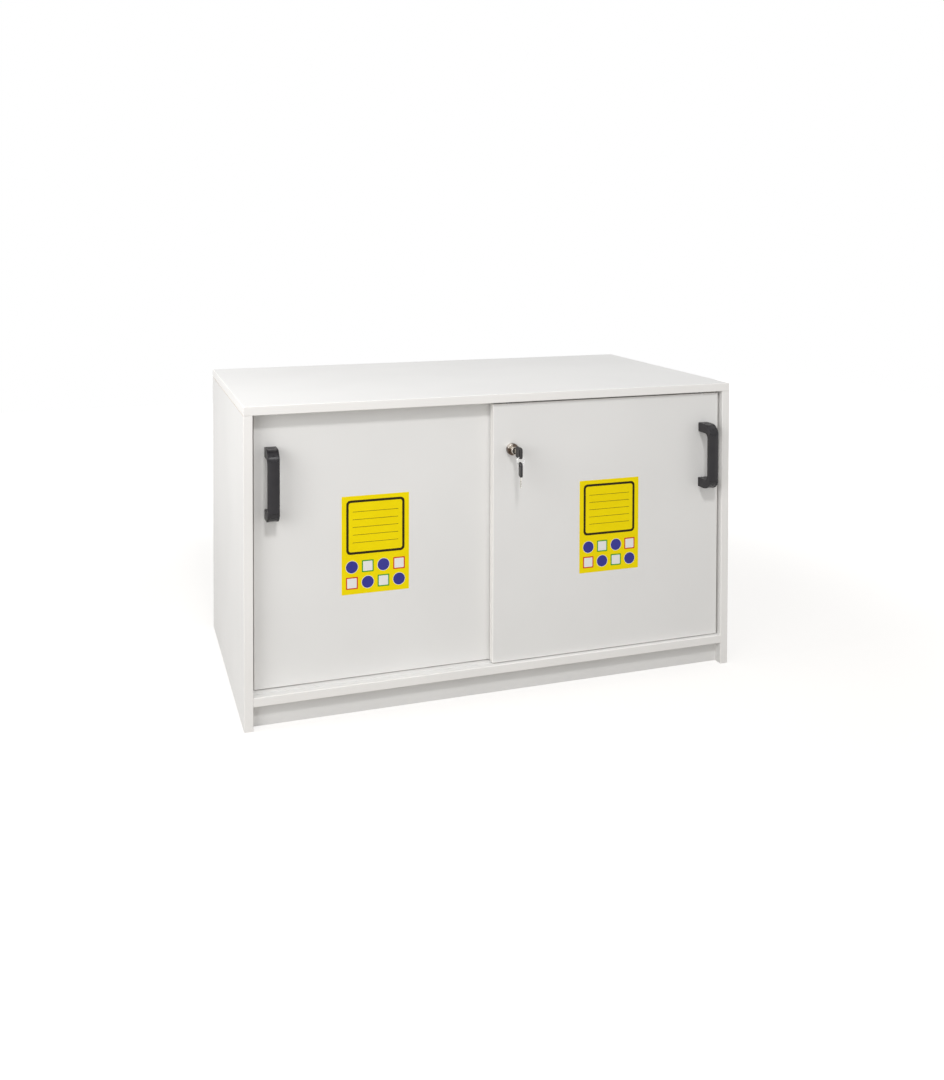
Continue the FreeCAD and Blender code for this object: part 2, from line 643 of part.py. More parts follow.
def guide_socket(x, line):
    """Bush in the door's upper edge that holds the guide and its spring."""
    bush = rod(SOCKET_RADIUS, SOCKET_DEPTH, Vector(x, line, DOOR_TOP), Z * -1)
    bore = rod(GUIDE_RADIUS + GUIDE_PLAY, SOCKET_DEPTH - SOCKET_FLOOR, Vector(x, line, DOOR_TOP), Z * -1)
    return bush.cut(bore).cut(guide_slot(x, line))


def guide_pin(x, line):
    """Guide pin, with the thumb tab that draws it down into the door."""
    low = DOOR_TOP - GUIDE_IN_DOOR
    length = GUIDE_IN_DOOR + DOOR_TOP_GAP + GUIDE_REACH
    pin = rod(GUIDE_RADIUS, length, Vector(x, line, low), Z)
    pin = pin.makeFillet(GUIDE_TIP_ROUND, edges_in_plane(pin, 2, low + length))
    half = GUIDE_TAB_WIDTH / 2
    back_of_door = line + DOOR_THICKNESS / 2
    tab = block((x - half, x + half), (line, back_of_door + GUIDE_TAB_REACH), (low, low + GUIDE_TAB_HEIGHT))
    return pin.fuse(tab).removeSplitter()


# Handles
def handle_body(inset):
    """Outer form of a handle before it is hollowed, drawn in by an inset. It stands on the plane y = 0."""
    half = HANDLE_WIDTH / 2
    front = HANDLE_REACH - inset
    edge = front - HANDLE_CROWN
    side = block((-half, half), (-front, 0), (inset, HANDLE_LENGTH - inset))
    corners = edges_in_plane(side, 1, -front)
    corners = [e for e in corners if abs(e.Vertexes[0].Z - e.Vertexes[1].Z) < 1e-6]
    side = side.makeFillet(HANDLE_OUTER_ROUND - inset, corners)
    crown = Part.Wire(
        [
            Part.makeLine(Vector(half, 0, 0), Vector(-half, 0, 0)),
            Part.makeLine(Vector(-half, 0, 0), Vector(-half, -edge, 0)),
            Part.Arc(Vector(-half, -edge, 0), Vector(0, -front, 0), Vector(half, -edge, 0)).toShape(),
            Part.makeLine(Vector(half, -edge, 0), Vector(half, 0, 0)),
        ]
    )
    return side.common(Part.Face(crown).extrude(Z * HANDLE_LENGTH))


def handle_screw(z):
    """Screw through the foot of a leg into the door, seen from the plane y = 0."""
    seat = Vector(0, -HANDLE_FLOOR, z)
    shank = rod(HANDLE_SCREW_RADIUS, HANDLE_FLOOR + DOOR_THICKNESS - HANDLE_SCREW_COVER, seat, Y)
    return shank.fuse(rod(HANDLE_SCREW_HEAD_RADIUS, HANDLE_SCREW_HEAD, seat, Y * -1))


def cap_hollows():
    """Shallow panel inside the rim of each cover cap, and the round dimple in it."""
    wide = HANDLE_WIDTH / 2 - CAP_SIDE - CAP_GAP - CAP_RIM
    y = (-HANDLE_REACH - CUT, -CAP_FOOT - CAP_GAP - CAP_RIM)
    z = (HANDLE_LENGTH - CAP_ON_BAR + CAP_GAP + CAP_RIM, HANDLE_LENGTH + CUT)
    panel = handle_body(0).cut(handle_body(CAP_RECESS)).common(block((-wide, wide), y, z))
    rise = HANDLE_OUTER_ROUND - CAP_DIMPLE_FROM_END
    reach = HANDLE_REACH - HANDLE_OUTER_ROUND + math.sqrt(HANDLE_OUTER_ROUND**2 - rise**2)
    dimple = Part.makeSphere(CAP_DIMPLE_RADIUS, Vector(0, -reach, HANDLE_LENGTH - CAP_DIMPLE_FROM_END))
    upper = [panel, dimple]
    return upper + [tool.mirror(Vector(0, 0, HANDLE_LENGTH / 2), Z) for tool in upper]


def handle():
    """Bridge handle, its two cover caps and its two screws, with the foot on the plane y = 0 and z from 0."""
    half = HANDLE_WIDTH / 2
    whole = handle_body(0)
    core = handle_body(CAP_WALL)
    inner = HANDLE_REACH - HANDLE_BAR
    gap = block((-half - CUT, half + CUT), (-inner, CUT), (HANDLE_LEG, HANDLE_LENGTH - HANDLE_LEG))
    corners = [e for e in edges_in_plane(gap, 1, -inner) if abs(e.Vertexes[0].Z - e.Vertexes[1].Z) < 1e-6]
    gap = gap.makeFillet(HANDLE_INNER_ROUND, corners)
    body = whole.cut(gap)
    sides = [
        e
        for side in (-half, half)
        for e in edges_in_plane(body, 0, side)
        if not all(abs(v.Y) < 1e-6 for v in e.Vertexes)
    ]
    body = body.makeFillet(HANDLE_ARRIS, sides)
    shell = whole.cut(core)
    hollows = cap_hollows()
    caps, screws = [], []
    for low in (True, False):
        seat_z = HANDLE_LEG / 2 if low else HANDLE_LENGTH - HANDLE_LEG / 2
        z = (-CUT, CAP_ON_BAR) if low else (HANDLE_LENGTH - CAP_ON_BAR, HANDLE_LENGTH + CUT)
        wide = half - CAP_SIDE
        room = block((-wide, wide), (-HANDLE_REACH - CUT, -CAP_FOOT), z)
        narrow = wide - CAP_GAP
        inner_z = (z[0], z[1] - CAP_GAP) if low else (z[0] + CAP_GAP, z[1])
        fill = block((-narrow, narrow), (-HANDLE_REACH - CUT, -CAP_FOOT - CAP_GAP), inner_z)
        caps.append(cut_all(shell.common(fill), hollows))
        body = body.cut(shell.common(room))
        well = Vector(0, -HANDLE_FLOOR, seat_z)
        well_depth = HANDLE_REACH - HANDLE_FLOOR - CAP_WALL - HANDLE_CROWN
        body = body.cut(rod(HANDLE_SCREW_WELL_RADIUS, well_depth, well, Y * -1))
        body = body.cut(rod(HANDLE_SCREW_RADIUS + HANDLE_SCREW_PLAY, HANDLE_FLOOR + CUT, well, Y))
        screws.append(handle_screw(seat_z))
    return body, caps, screws


handle_parts = handle()
door_cuts = {}
for name, span, face_y, handle_x in (
    ("front", FRONT_DOOR_X, FRONT_DOOR_Y, FRONT_HANDLE_X),
    ("rear", REAR_DOOR_X, REAR_DOOR_Y, REAR_HANDLE_X),
):
    line = face_y + DOOR_THICKNESS / 2
    place = Vector(handle_x, face_y, HANDLE_Z)
    body = handle_parts[0].translated(place)
    caps = [cap.translated(place) for cap in handle_parts[1]]
    screws = [screw.translated(place) for screw in handle_parts[2]]
    write(f"{name}_handle", body)
    write(f"{name}_handle_caps", *caps)
    write(f"{name}_handle_screws", *screws)
    rollers = (span[0] + ROLLER_INSET, span[1] - ROLLER_INSET)
    guides = (span[0] + GUIDE_INSET, span[1] - GUIDE_INSET)
    write(f"{name}_roller_housings", *[roller_housing(x, line) for x in rollers])
    write(f"{name}_roller_pins", *[roller_pin(x, line) for x in rollers])
    write(f"{name}_guide_sockets", *[guide_socket(x, line) for x in guides])
    for side, x in zip(("left", "right"), rollers):
        write(f"{name}_{side}_roller", roller(x, line))
    for side, x in zip(("left", "right"), guides):
        write(f"{name}_{side}_guide_pin", guide_pin(x, line))
    tools = screws + [roller_pocket(x, line) for x in rollers]
    for x in guides:
        tools.append(rod(SOCKET_RADIUS, SOCKET_DEPTH, Vector(x, line, DOOR_TOP), Z * -1))
        tools.append(guide_slot(x, line))
    door_cuts[name] = tools


# Lock
lock_point = Vector(LOCK_X, FRONT_DOOR_Y, LOCK_Z)
back_of_front_door = FRONT_DOOR_Y + DOOR_THICKNESS


def lock_housing():
    """Collar against the door's face and body through the door, with a wall at the back."""
    start = lock_point - Y * COLLAR_REACH
    collar = rod(COLLAR_RADIUS, COLLAR_REACH, start, Y)
    collar = collar.makeFillet(COLLAR_ROUND, edges_in_plane(collar, 1, start.y))
    body = collar.fuse(rod(LOCK_BODY_RADIUS, DOOR_THICKNESS, lock_point, Y))
    bore = rod(BARREL_RADIUS + BARREL_PLAY, COLLAR_REACH + DOOR_THICKNESS - LOCK_BACK_WALL, start, Y)
    return body.cut(bore).cut(rod(BOLT_RADIUS + BOLT_PLAY, COLLAR_REACH + DOOR_THICKNESS, start, Y))


def lock_barrel():
    """Barrel in its popped-out place, with the bolt behind it and the bore for the plug."""
    start = Vector(LOCK_X, BARREL_FRONT, LOCK_Z)
    barrel = rod(BARREL_RADIUS, BARREL_LENGTH, start, Y)
    barrel = barrel.makeFillet(BARREL_ROUND, edges_in_plane(barrel, 1, BARREL_FRONT))
    tip = REAR_DOOR_Y - BOLT_OFF_REAR_DOOR - BARREL_TRAVEL
    bolt = rod(BOLT_RADIUS, tip - BARREL_FRONT - BARREL_LENGTH + CUT, start + Y * (BARREL_LENGTH - CUT), Y)
    bore = rod(PLUG_RADIUS + PLUG_PLAY, BARREL_LENGTH - PLUG_WALL, start, Y)
    return barrel.fuse(bolt).cut(bore)


def lock_plug():
    """Key plug, with its keyway."""
    start = Vector(LOCK_X, BARREL_FRONT, LOCK_Z)
    length = BARREL_LENGTH - PLUG_WALL - PLUG_END_GAP
    half_x = BLADE_THICKNESS / 2 + BLADE_PLAY
    half_z = BLADE_HEIGHT / 2 + BLADE_PLAY
    keyway = block(
        (LOCK_X - half_x, LOCK_X + half_x),
        (BARREL_FRONT - CUT, BARREL_FRONT + length - PLUG_WALL / 2),
        (LOCK_Z - half_z, LOCK_Z + half_z),
    )
    return rod(PLUG_RADIUS, length, start, Y).cut(keyway)


def strike_screw(sign):
    """Countersunk screw of the strike plate."""
    seat = Vector(LOCK_X, REAR_DOOR_Y - STRIKE_THICKNESS, LOCK_Z + sign * STRIKE_SCREW_SPACING / 2)
    head = Part.makeCone(STRIKE_SCREW_HEAD_RADIUS, STRIKE_SCREW_RADIUS, STRIKE_SCREW_HEAD, seat, Y)
    return head.fuse(rod(STRIKE_SCREW_RADIUS, STRIKE_SCREW_LENGTH, seat, Y))


plate = rounded_block(STRIKE_WIDTH / 2, STRIKE_HEIGHT / 2, STRIKE_CORNER, Vector(0, 0, 0), STRIKE_THICKNESS)
plate.rotate(Vector(0, 0, 0), X, 90)
plate.translate(Vector(LOCK_X, REAR_DOOR_Y, LOCK_Z))
bolt_hole = rod(BOLT_RADIUS + BOLT_PLAY, STRIKE_THICKNESS, Vector(LOCK_X, REAR_DOOR_Y, LOCK_Z), Y * -1)
strike_screws = [strike_screw(-1), strike_screw(1)]
write("lock_housing", lock_housing())
write("lock_barrel", lock_barrel())
write("lock_plug", lock_plug())
write("strike_plate", cut_all(plate, [bolt_hole] + strike_screws))
write("strike_screws", *strike_screws)

# Doors
lock_hole = rod(LOCK_BODY_RADIUS + LOCK_BODY_PLAY, DOOR_THICKNESS, lock_point, Y)
door_cuts["front"].append(lock_hole)
door_cuts["rear"] += strike_screws
for name, span, face_y in (("front", FRONT_DOOR_X, FRONT_DOOR_Y), ("rear", REAR_DOOR_X, REAR_DOOR_Y)):
    board, strips = edged_board(
        span, (face_y, face_y + DOOR_THICKNESS), (DOOR_BOTTOM, DOOR_TOP), (LEFT, RIGHT, UNDER, OVER)
    )
    write(f"{name}_door", cut_all(board, door_cuts[name]))
    write(f"{name}_door_edging", *[cut_all(strip, door_cuts[name]) for strip in strips])


# Keys, drawn with the middle of the ring slot at the origin and the blade pointing along +Y
def key_blade():
    """Flat blade with its bits, and the wider neck next to the grip."""
    grip_end = GRIP_LENGTH - SLOT_FROM_END
    tip = grip_end + GRIP_FROM_BARREL + BARREL_LENGTH - PLUG_WALL - PLUG_END_GAP - BLADE_END_GAP
    half = BLADE_HEIGHT / 2
    root = grip_end - GRIP_OVER_BLADE
    shoulder = grip_end + GRIP_FROM_BARREL - NECK_GAP
    points = [(root, -half), (root, half), (tip - half, half), (tip, 0), (tip - half / 2, -half)]
    for number, depth in enumerate(BIT_DEPTHS):
        middle = tip - half - BIT_PITCH * (number + 0.5)
        points += [(middle + depth, -half), (middle, depth - half), (middle - depth, -half)]
    outline = [Vector(-BLADE_THICKNESS / 2, y, z) for y, z in points]
    blade = Part.Face(Part.makePolygon(outline + outline[:1])).extrude(X * BLADE_THICKNESS)
    thick = (-BLADE_THICKNESS / 2, BLADE_THICKNESS / 2)
    neck = block(thick, (root, shoulder), (-NECK_HEIGHT / 2, NECK_HEIGHT / 2))
    return blade.fuse(neck).removeSplitter()


def key_grip():
    """Moulded grip round the end of the blade, with a slot for the ring."""
    middle_y = GRIP_LENGTH / 2 - SLOT_FROM_END
    grip = rounded_block(GRIP_LENGTH / 2, GRIP_HEIGHT / 2, GRIP_CORNER, Vector(0, 0, 0), GRIP_THICKNESS)
    rims = edges_in_plane(grip, 2, 0) + edges_in_plane(grip, 2, GRIP_THICKNESS)
    grip = grip.makeFillet(GRIP_ARRIS, rims)
    slot = rounded_block(
        SLOT_WIDTH / 2, SLOT_LENGTH / 2, SLOT_WIDTH / 2, Vector(-middle_y, 0, -CUT), GRIP_THICKNESS + 2 * CUT
    )
    grip = grip.cut(slot)
    grip.translate(Vector(middle_y, 0, -GRIP_THICKNESS / 2))
    grip.rotate(Vector(0, 0, 0), Z, 90)
    grip.rotate(Vector(0, 0, 0), Y, 90)
    return grip.cut(key_blade())


def hung(shape):
    """Piece of the spare key, hanging by the far side of its slot on the ring."""
    shape = shape.copy()
    shape.rotate(Vector(0, 0, 0), X, -90)
    shape.rotate(Vector(0, 0, 0), Z, -SPARE_TURN)
    shape.translate(Vector(LOCK_X, SLOT_Y, RING_BOTTOM + RING_WIRE + SPARE_PLAY - SLOT_WIDTH / 2))
    return shape


in_lock = Vector(LOCK_X, SLOT_Y, LOCK_Z)
write("key_blade", key_blade().translated(in_lock))
write("key_grip", key_grip().translated(in_lock))
write("key_ring", Part.makeTorus(RING_RADIUS, RING_WIRE, Vector(LOCK_X, SLOT_Y, RING_TOP - RING_RADIUS), Y))
write("spare_key_blade", hung(key_blade()))
write("spare_key_grip", hung(key_grip()))

print(f"door travel {DOOR_TRAVEL:.1f}, roller radius {ROLLER_RADIUS:.1f}, roller axis z {ROLLER_AXIS:.2f}")
print(f"origin is {ORIGIN_Y:.2f} behind the carcase front, lock at x {LOCK_X:.1f}, z {LOCK_Z:.1f}")
print(f"ring pivot y {SLOT_Y - ORIGIN_Y:.2f}, z {RING_TOP:.2f}; spare pivot z {RING_BOTTOM:.2f}")
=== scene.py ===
# %% [markdown]
# # A low cabinet for acids and bases
#
# The real object is a laboratory base cabinet: white melamine-faced chipboard, two doors that slide past
# each other, black handles, a push lock with its keys, and a yellow label on each door. The
# construction, with every board, roller and key at its real size, comes in as a fixed frame. This file
# gives each piece its finish, adds the small things that are printed, stamped or wound, and sets up the
# camera and the light.

# %% Load the construction
import math

import bmesh
import bpy
from mathutils import Matrix, Vector


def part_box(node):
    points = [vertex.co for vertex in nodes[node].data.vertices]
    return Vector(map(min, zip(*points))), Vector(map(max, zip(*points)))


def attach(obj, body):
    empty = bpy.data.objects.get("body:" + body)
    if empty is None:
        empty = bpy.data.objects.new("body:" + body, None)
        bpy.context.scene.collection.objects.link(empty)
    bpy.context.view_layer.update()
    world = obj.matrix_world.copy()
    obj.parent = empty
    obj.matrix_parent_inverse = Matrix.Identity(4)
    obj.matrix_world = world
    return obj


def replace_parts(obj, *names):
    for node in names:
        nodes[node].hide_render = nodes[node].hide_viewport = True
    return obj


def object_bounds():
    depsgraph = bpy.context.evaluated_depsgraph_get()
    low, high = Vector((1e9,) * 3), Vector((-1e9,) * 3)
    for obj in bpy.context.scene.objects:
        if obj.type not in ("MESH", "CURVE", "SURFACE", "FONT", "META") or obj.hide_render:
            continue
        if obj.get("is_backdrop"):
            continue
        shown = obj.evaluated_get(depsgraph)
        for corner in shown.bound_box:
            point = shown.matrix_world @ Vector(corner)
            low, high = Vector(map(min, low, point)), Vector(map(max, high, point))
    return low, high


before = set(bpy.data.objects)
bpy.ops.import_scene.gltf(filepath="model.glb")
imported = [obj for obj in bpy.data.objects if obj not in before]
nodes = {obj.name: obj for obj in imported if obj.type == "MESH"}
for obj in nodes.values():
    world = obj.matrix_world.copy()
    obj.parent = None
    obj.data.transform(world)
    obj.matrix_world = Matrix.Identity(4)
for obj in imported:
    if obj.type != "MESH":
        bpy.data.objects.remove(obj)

MM_IN_A_METRE = 1000

cad_box = [list(corner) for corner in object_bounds()]
print("size in mm:", [round((high - low) * MM_IN_A_METRE, 1) for low, high in zip(*cad_box)])

# %% [markdown]
# ## Camera
#
# A product photographer keeps the camera level, so that upright edges stay upright, and moves the lens
# down instead of tilting the camera. Blender's camera does the same with its shift. The place, the
# heading and the focal length come from matching the cabinet's straight edges, so they are written as
# real measures: metres, degrees, and millimetres on a 36 mm sensor.

# %% Camera directions
CAMERA_PLACE = Vector((-0.8352, -2.4708, 1.0202))
CAMERA_HEADING = math.radians(18.764)
CAMERA_PITCH = math.radians(-1.466)
CAMERA_ROLL = math.radians(0.133)


def camera_axes(heading, pitch, roll):
    """Right, up and forward directions of a camera that heads to the right of +Y."""
    level = Vector((math.sin(heading), math.cos(heading), 0))
    forward = level * math.cos(pitch) + Vector((0, 0, math.sin(pitch)))
    right = Vector((math.cos(heading), -math.sin(heading), 0))
    up = right.cross(forward)
    turned_right = right * math.cos(roll) + up * math.sin(roll)
    turned_up = up * math.cos(roll) - right * math.sin(roll)
    return turned_right, turned_up, forward


right, up, forward = camera_axes(CAMERA_HEADING, CAMERA_PITCH, CAMERA_ROLL)
print("camera looks along", [round(value, 3) for value in forward])

# %% Camera
CAMERA_LENS = 35.84
CAMERA_SHIFT = (0.0057, -0.2603)

camera_data = bpy.data.cameras.new("camera")
camera_data.sensor_width = 36.0
camera_data.lens = CAMERA_LENS
camera_data.shift_x, camera_data.shift_y = CAMERA_SHIFT
camera = bpy.data.objects.new("camera", camera_data)
bpy.context.scene.collection.objects.link(camera)
turned = Matrix((right, up, -forward)).transposed().to_4x4()
camera.matrix_world = Matrix.Translation(CAMERA_PLACE) @ turned
bpy.context.scene.camera = camera
print("camera is", round(cad_box[0][1] - CAMERA_PLACE.y, 2), "m in front of the handles and keys")

# %% [markdown]
# ## Small helpers
#
# Every finish below is a tree of shader nodes, and what repeats is made by a tree of geometry nodes. One
# function adds a node to either kind, sets its properties and fills its inputs, with a plain value or
# with another node's output. Colours are written as the hex values that a painter would name, and one
# function turns them into the linear values that the renderer works with.

# %% Colours
def colour(code):
    """Linear colour, with full alpha, of an sRGB hex code."""
    channels = [int(code[i:i + 2], 16) / 255 for i in (1, 3, 5)]
    linear = [c / 12.92 if c <= 0.04045 else ((c + 0.055) / 1.055) ** 2.4 for c in channels]
    return (*linear, 1.0)


print("mid grey in linear light:", round(colour("#808080")[0], 3))


# %% Nodes
def add(tree, kind, inputs=None, **settings):
    """Adds a node. Inputs go by socket name or number, and a list links several sockets to one."""
    made = tree.nodes.new(kind)
    for name, value in settings.items():
        setattr(made, name, value)
    for socket, given in (inputs or {}).items():
        for value in given if isinstance(given, list) else [given]:
            if isinstance(value, bpy.types.NodeSocket):
                tree.links.new(value, made.inputs[socket])
            else:
                made.inputs[socket].default_value = value
    return made


def new_material(name):
    """Material with its tree and the Principled shader that it starts with."""
    material = bpy.data.materials.new(name)
    material.use_nodes = True
    return material, material.node_tree, material.node_tree.nodes["Principled BSDF"]


def dress(node, material):
    """Puts a material on a node of the construction."""
    mesh = nodes[node].data
    mesh.materials.clear()
    mesh.materials.append(material)


print("helpers ready for", len(nodes), "nodes")


# %% Patterns with a real size
def mottled(tree, where, size_mm, low, high, detail=2.0):
    """Colour that wanders between two tones, in patches of a real size."""
    pattern = {"Vector": where, "Scale": MM_IN_A_METRE / size_mm, "Detail": detail}
    noise = add(tree, "ShaderNodeTexNoise", pattern)
    middle = {"Value": noise.outputs["Fac"], "From Min": 0.35, "From Max": 0.65}
    spread = add(tree, "ShaderNodeMapRange", middle)
    tones = {"Factor": spread.outputs["Result"], "A": low, "B": high}
    return add(tree, "ShaderNodeMix", tones, data_type="RGBA").outputs["Result"]


def grained(tree, where, size_mm, depth_mm, detail=2.0):
    """Bumps of a real size and depth."""
    pattern = {"Vector": where, "Scale": MM_IN_A_METRE / size_mm, "Detail": detail}
    noise = add(tree, "ShaderNodeTexNoise", pattern)
    height = {"Height": noise.outputs["Fac"], "Distance": depth_mm / MM_IN_A_METRE}
    bump = add(tree, "ShaderNodeBump", height)
    return bump.outputs["Normal"]


print("noise scale of a 1 mm pattern:", MM_IN_A_METRE)

# %% [markdown]
# ## White boards
#
# The boards are melamine-faced chipboard: two faces of pressed white paper and resin, 0.3 mm thick, over
# a core of wood chips. To the eye the face is an even, slightly cool white with a faint pearl texture
# and a soft sheen. But the cut edges at the back and underneath, the grooves and the holes show the
# core, tan and rough. Both are one material here. It reads how far a point is from the middle of the
# board, through its thickness: at the very face it is melamine, and everything deeper is chipboard. The
# board's thickness is the smallest side of its box.

# %% Where a board shows its facing
FACING_MM = 0.3


def on_facing(tree, where, low, high):
    """1 on a board's two faces and 0 on its core, from the corners of the board's box."""
    sides = [high[axis] - low[axis] for axis in range(3)]
    axis = sides.index(min(sides))
    place = add(tree, "ShaderNodeSeparateXYZ", {"Vector": where}).outputs[axis]
    middle = (low[axis] + high[axis]) / 2
    from_middle = add(tree, "ShaderNodeMath", {0: place, 1: middle}, operation="SUBTRACT")
    distance = add(tree, "ShaderNodeMath", {0: from_middle.outputs[0]}, operation="ABSOLUTE")
    face = sides[axis] / 2 - FACING_MM / MM_IN_A_METRE
    outside = add(tree, "ShaderNodeMath", {0: distance.outputs[0], 1: face}, operation="GREATER_THAN")
    return outside.outputs[0]


print("facing of", FACING_MM, "mm on each side of a board")


# %% Melamine-faced board
CHIP_MM = 3.2
# The real pearl texture is about 0.4 mm across, too fine to show, so it is drawn coarser.
PEARL_MM = 1.1
PEARL_DEPTH_MM = 0.005
WHITE_TONES = ("#EDECEA", "#F0EFED")
WHITE_PATCH_MM = 260
FACING_ROUGHNESS = 0.44
CORE_ROUGHNESS = 0.9
TEAR_DEPTH = 0.0004


def melamine_board(node, core_tones=("#A08059", "#DDC49C")):
    """White melamine over a chipboard core, placed by the node's own box."""
    material, tree, shader = new_material(f"white_melamine_on_chipboard.{node}")
    where = add(tree, "ShaderNodeTexCoord").outputs["Object"]
    facing = on_facing(tree, where, *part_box(node))
    white = mottled(tree, where, WHITE_PATCH_MM, colour(WHITE_TONES[0]), colour(WHITE_TONES[1]))
    chips = add(tree, "ShaderNodeTexVoronoi", {"Vector": where, "Scale": MM_IN_A_METRE / CHIP_MM})
    grey = add(tree, "ShaderNodeSeparateColor", {"Color": chips.outputs["Color"]})
    tones = {"Factor": grey.outputs[0], "A": colour(core_tones[0]), "B": colour(core_tones[1])}
    core = add(tree, "ShaderNodeMix", tones, data_type="RGBA")
    tones = {"Factor": facing, "A": core.outputs["Result"], "B": white}
    base = add(tree, "ShaderNodeMix", tones, data_type="RGBA")
    levels = {"Factor": facing, "A": CORE_ROUGHNESS, "B": FACING_ROUGHNESS}
    roughness = add(tree, "ShaderNodeMix", levels, data_type="FLOAT")
    pearl = grained(tree, where, PEARL_MM, PEARL_DEPTH_MM)
    torn = add(tree, "ShaderNodeBump", {"Height": chips.outputs["Distance"], "Distance": TEAR_DEPTH})
    normals = {"Factor": facing, "A": torn.outputs["Normal"], "B": pearl}
    normal = add(tree, "ShaderNodeMix", normals, data_type="VECTOR")
    tree.links.new(base.outputs["Result"], shader.inputs["Base Color"])
    tree.links.new(roughness.outputs["Result"], shader.inputs["Roughness"])
    tree.links.new(normal.outputs["Result"], shader.inputs["Normal"])
    return material


BOARDS = (
    "top_panel", "left_side", "right_side", "bottom_panel", "kickboard", "rear_plinth_rail",
    "centre_partition", "left_shelf", "right_shelf", "front_door", "rear_door",
)
for board in BOARDS:
    dress(board, melamine_board(board))
dress("back_panel", melamine_board("back_panel", core_tones=("#7A5B3E", "#8E6D4C")))
print("boards:", len(BOARDS) + 1)

# %% [markdown]
# ## Edging, tracks and mouldings
#
# The boards' front edges are closed with 2 mm ABS strips, glued on and rounded. Tracks and channels are
# white PVC extrusions, trays and spigots are moulded polypropylene, rollers and guides are grey
# polyamide. The handles are black glass-filled polyamide, their cover caps a smoother one, and the key
# grips a softer black plastic. They are all plastics, so they share one function. What tells them apart
# to the eye is their colour, how rough the mould or the die left them, and the size of that grain.

# %% A plastic
SHEEN_SPREAD = 0.05
SHEENS_IN_A_PATCH = 6


def plastic(name, tones, roughness, grain_mm, grain_depth_mm, patch_mm=180, ior=1.5):
    """Plastic whose colour wanders between two tones and whose grain has a real size."""
    material, tree, shader = new_material(name)
    where = add(tree, "ShaderNodeTexCoord").outputs["Object"]
    shader.inputs["IOR"].default_value = ior
    base = mottled(tree, where, patch_mm, colour(tones[0]), colour(tones[1]))
    tree.links.new(base, shader.inputs["Base Color"])
    tree.links.new(grained(tree, where, grain_mm, grain_depth_mm), shader.inputs["Normal"])
    pattern = {"Vector": where, "Scale": SHEENS_IN_A_PATCH * MM_IN_A_METRE / patch_mm, "Detail": 3.0}
    sheen = add(tree, "ShaderNodeTexNoise", pattern)
    spread = {"To Min": roughness - SHEEN_SPREAD, "To Max": roughness + SHEEN_SPREAD}
    rough = add(tree, "ShaderNodeMapRange", {"Value": sheen.outputs["Fac"], **spread})
    tree.links.new(rough.outputs["Result"], shader.inputs["Roughness"])
    return material


# ABS edging: satin, a shade warmer than the boards, so that the strips can just be told from them.
abs_edging = plastic("white_abs_edging", ("#F6F4F1", "#F9F7F4"), 0.36, 0.9, 0.006)
# Extruded PVC: smoother along its length than moulded plastic, with a faint drawn waviness.
track_plastic = plastic("white_pvc_track", ("#E6E6E4", "#EBEBE9"), 0.32, 2.5, 0.01)
# Polypropylene: waxy, a little cloudy, with a duller gleam.
tray_plastic = plastic("grey_polypropylene", ("#B9BCBD", "#C3C6C7"), 0.46, 1.6, 0.03, ior=1.49)
# Unfilled polyamide: hard and slightly shiny.
roller_plastic = plastic("grey_polyamide", ("#7B7E81", "#86898C"), 0.42, 0.8, 0.01)
# Glass-filled polyamide from a spark-eroded mould: a fine matte grain that turns highlights grey.
handle_tones = ("#211F23", "#29272A")
HANDLE_SPECULAR = 0.35
handle_plastic = plastic("black_glass_filled_polyamide", handle_tones, 0.4, 0.55, 0.02, patch_mm=30)
# The cover caps are the same black but smoother: their rims and rounding gleam beside the dull bars.
cap_plastic = plastic("black_polished_polyamide", handle_tones, 0.24, 0.55, 0.006, patch_mm=30)
for material in (handle_plastic, cap_plastic):
    material.node_tree.nodes["Principled BSDF"].inputs["Specular IOR Level"].default_value = HANDLE_SPECULAR
# ABS key grips: rubbed by fingers, so a little uneven.
key_plastic = plastic("black_abs_key_grip", ("#1F1D1E", "#262425"), 0.5, 0.5, 0.02, patch_mm=20)
print("plastics:", len(bpy.data.materials) - len(BOARDS) - 1)


# %% Rounded edges that catch the light
def soften_edges(material, radius_mm):
    """Shades the edges as rounded, which the mould leaves on every corner that isn't a split line."""
    tree = material.node_tree
    bump = next(node for node in tree.nodes if node.bl_idname == "ShaderNodeBump")
    rounded = add(tree, "ShaderNodeBevel", {"Radius": radius_mm / MM_IN_A_METRE}, samples=6)
    tree.links.new(rounded.outputs["Normal"], bump.inputs["Normal"])
    print(material.name, "edges rounded by", radius_mm, "mm")


soften_edges(handle_plastic, 0.9)
soften_edges(cap_plastic, 0.5)
soften_edges(key_plastic, 0.5)

# %% Plastic pieces
for place in ("top", "side", "bottom", "inner", "front_door", "rear_door"):
    dress(f"{place}_edging", abs_edging)
for node in ("bottom_tracks", "top_channels", "channel_stops"):
    dress(node, track_plastic)
for node in ("left_floor_tray", "right_floor_tray", "left_shelf_tray", "right_shelf_tray", "vent_spigots"):
    dress(node, tray_plastic)
for door in ("front", "rear"):
    for node in ("roller_housings", "guide_sockets"):
        dress(f"{door}_{node}", roller_plastic)
    for side in ("left", "right"):
        dress(f"{door}_{side}_roller", roller_plastic)
        dress(f"{door}_{side}_guide_pin", roller_plastic)
    dress(f"{door}_handle", handle_plastic)
    dress(f"{door}_handle_caps", cap_plastic)
for node in ("key_grip", "spare_key_grip"):
    dress(node, key_plastic)
low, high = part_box("front_handle")
print("handles are", round((high.z - low.z) * MM_IN_A_METRE), "mm long")

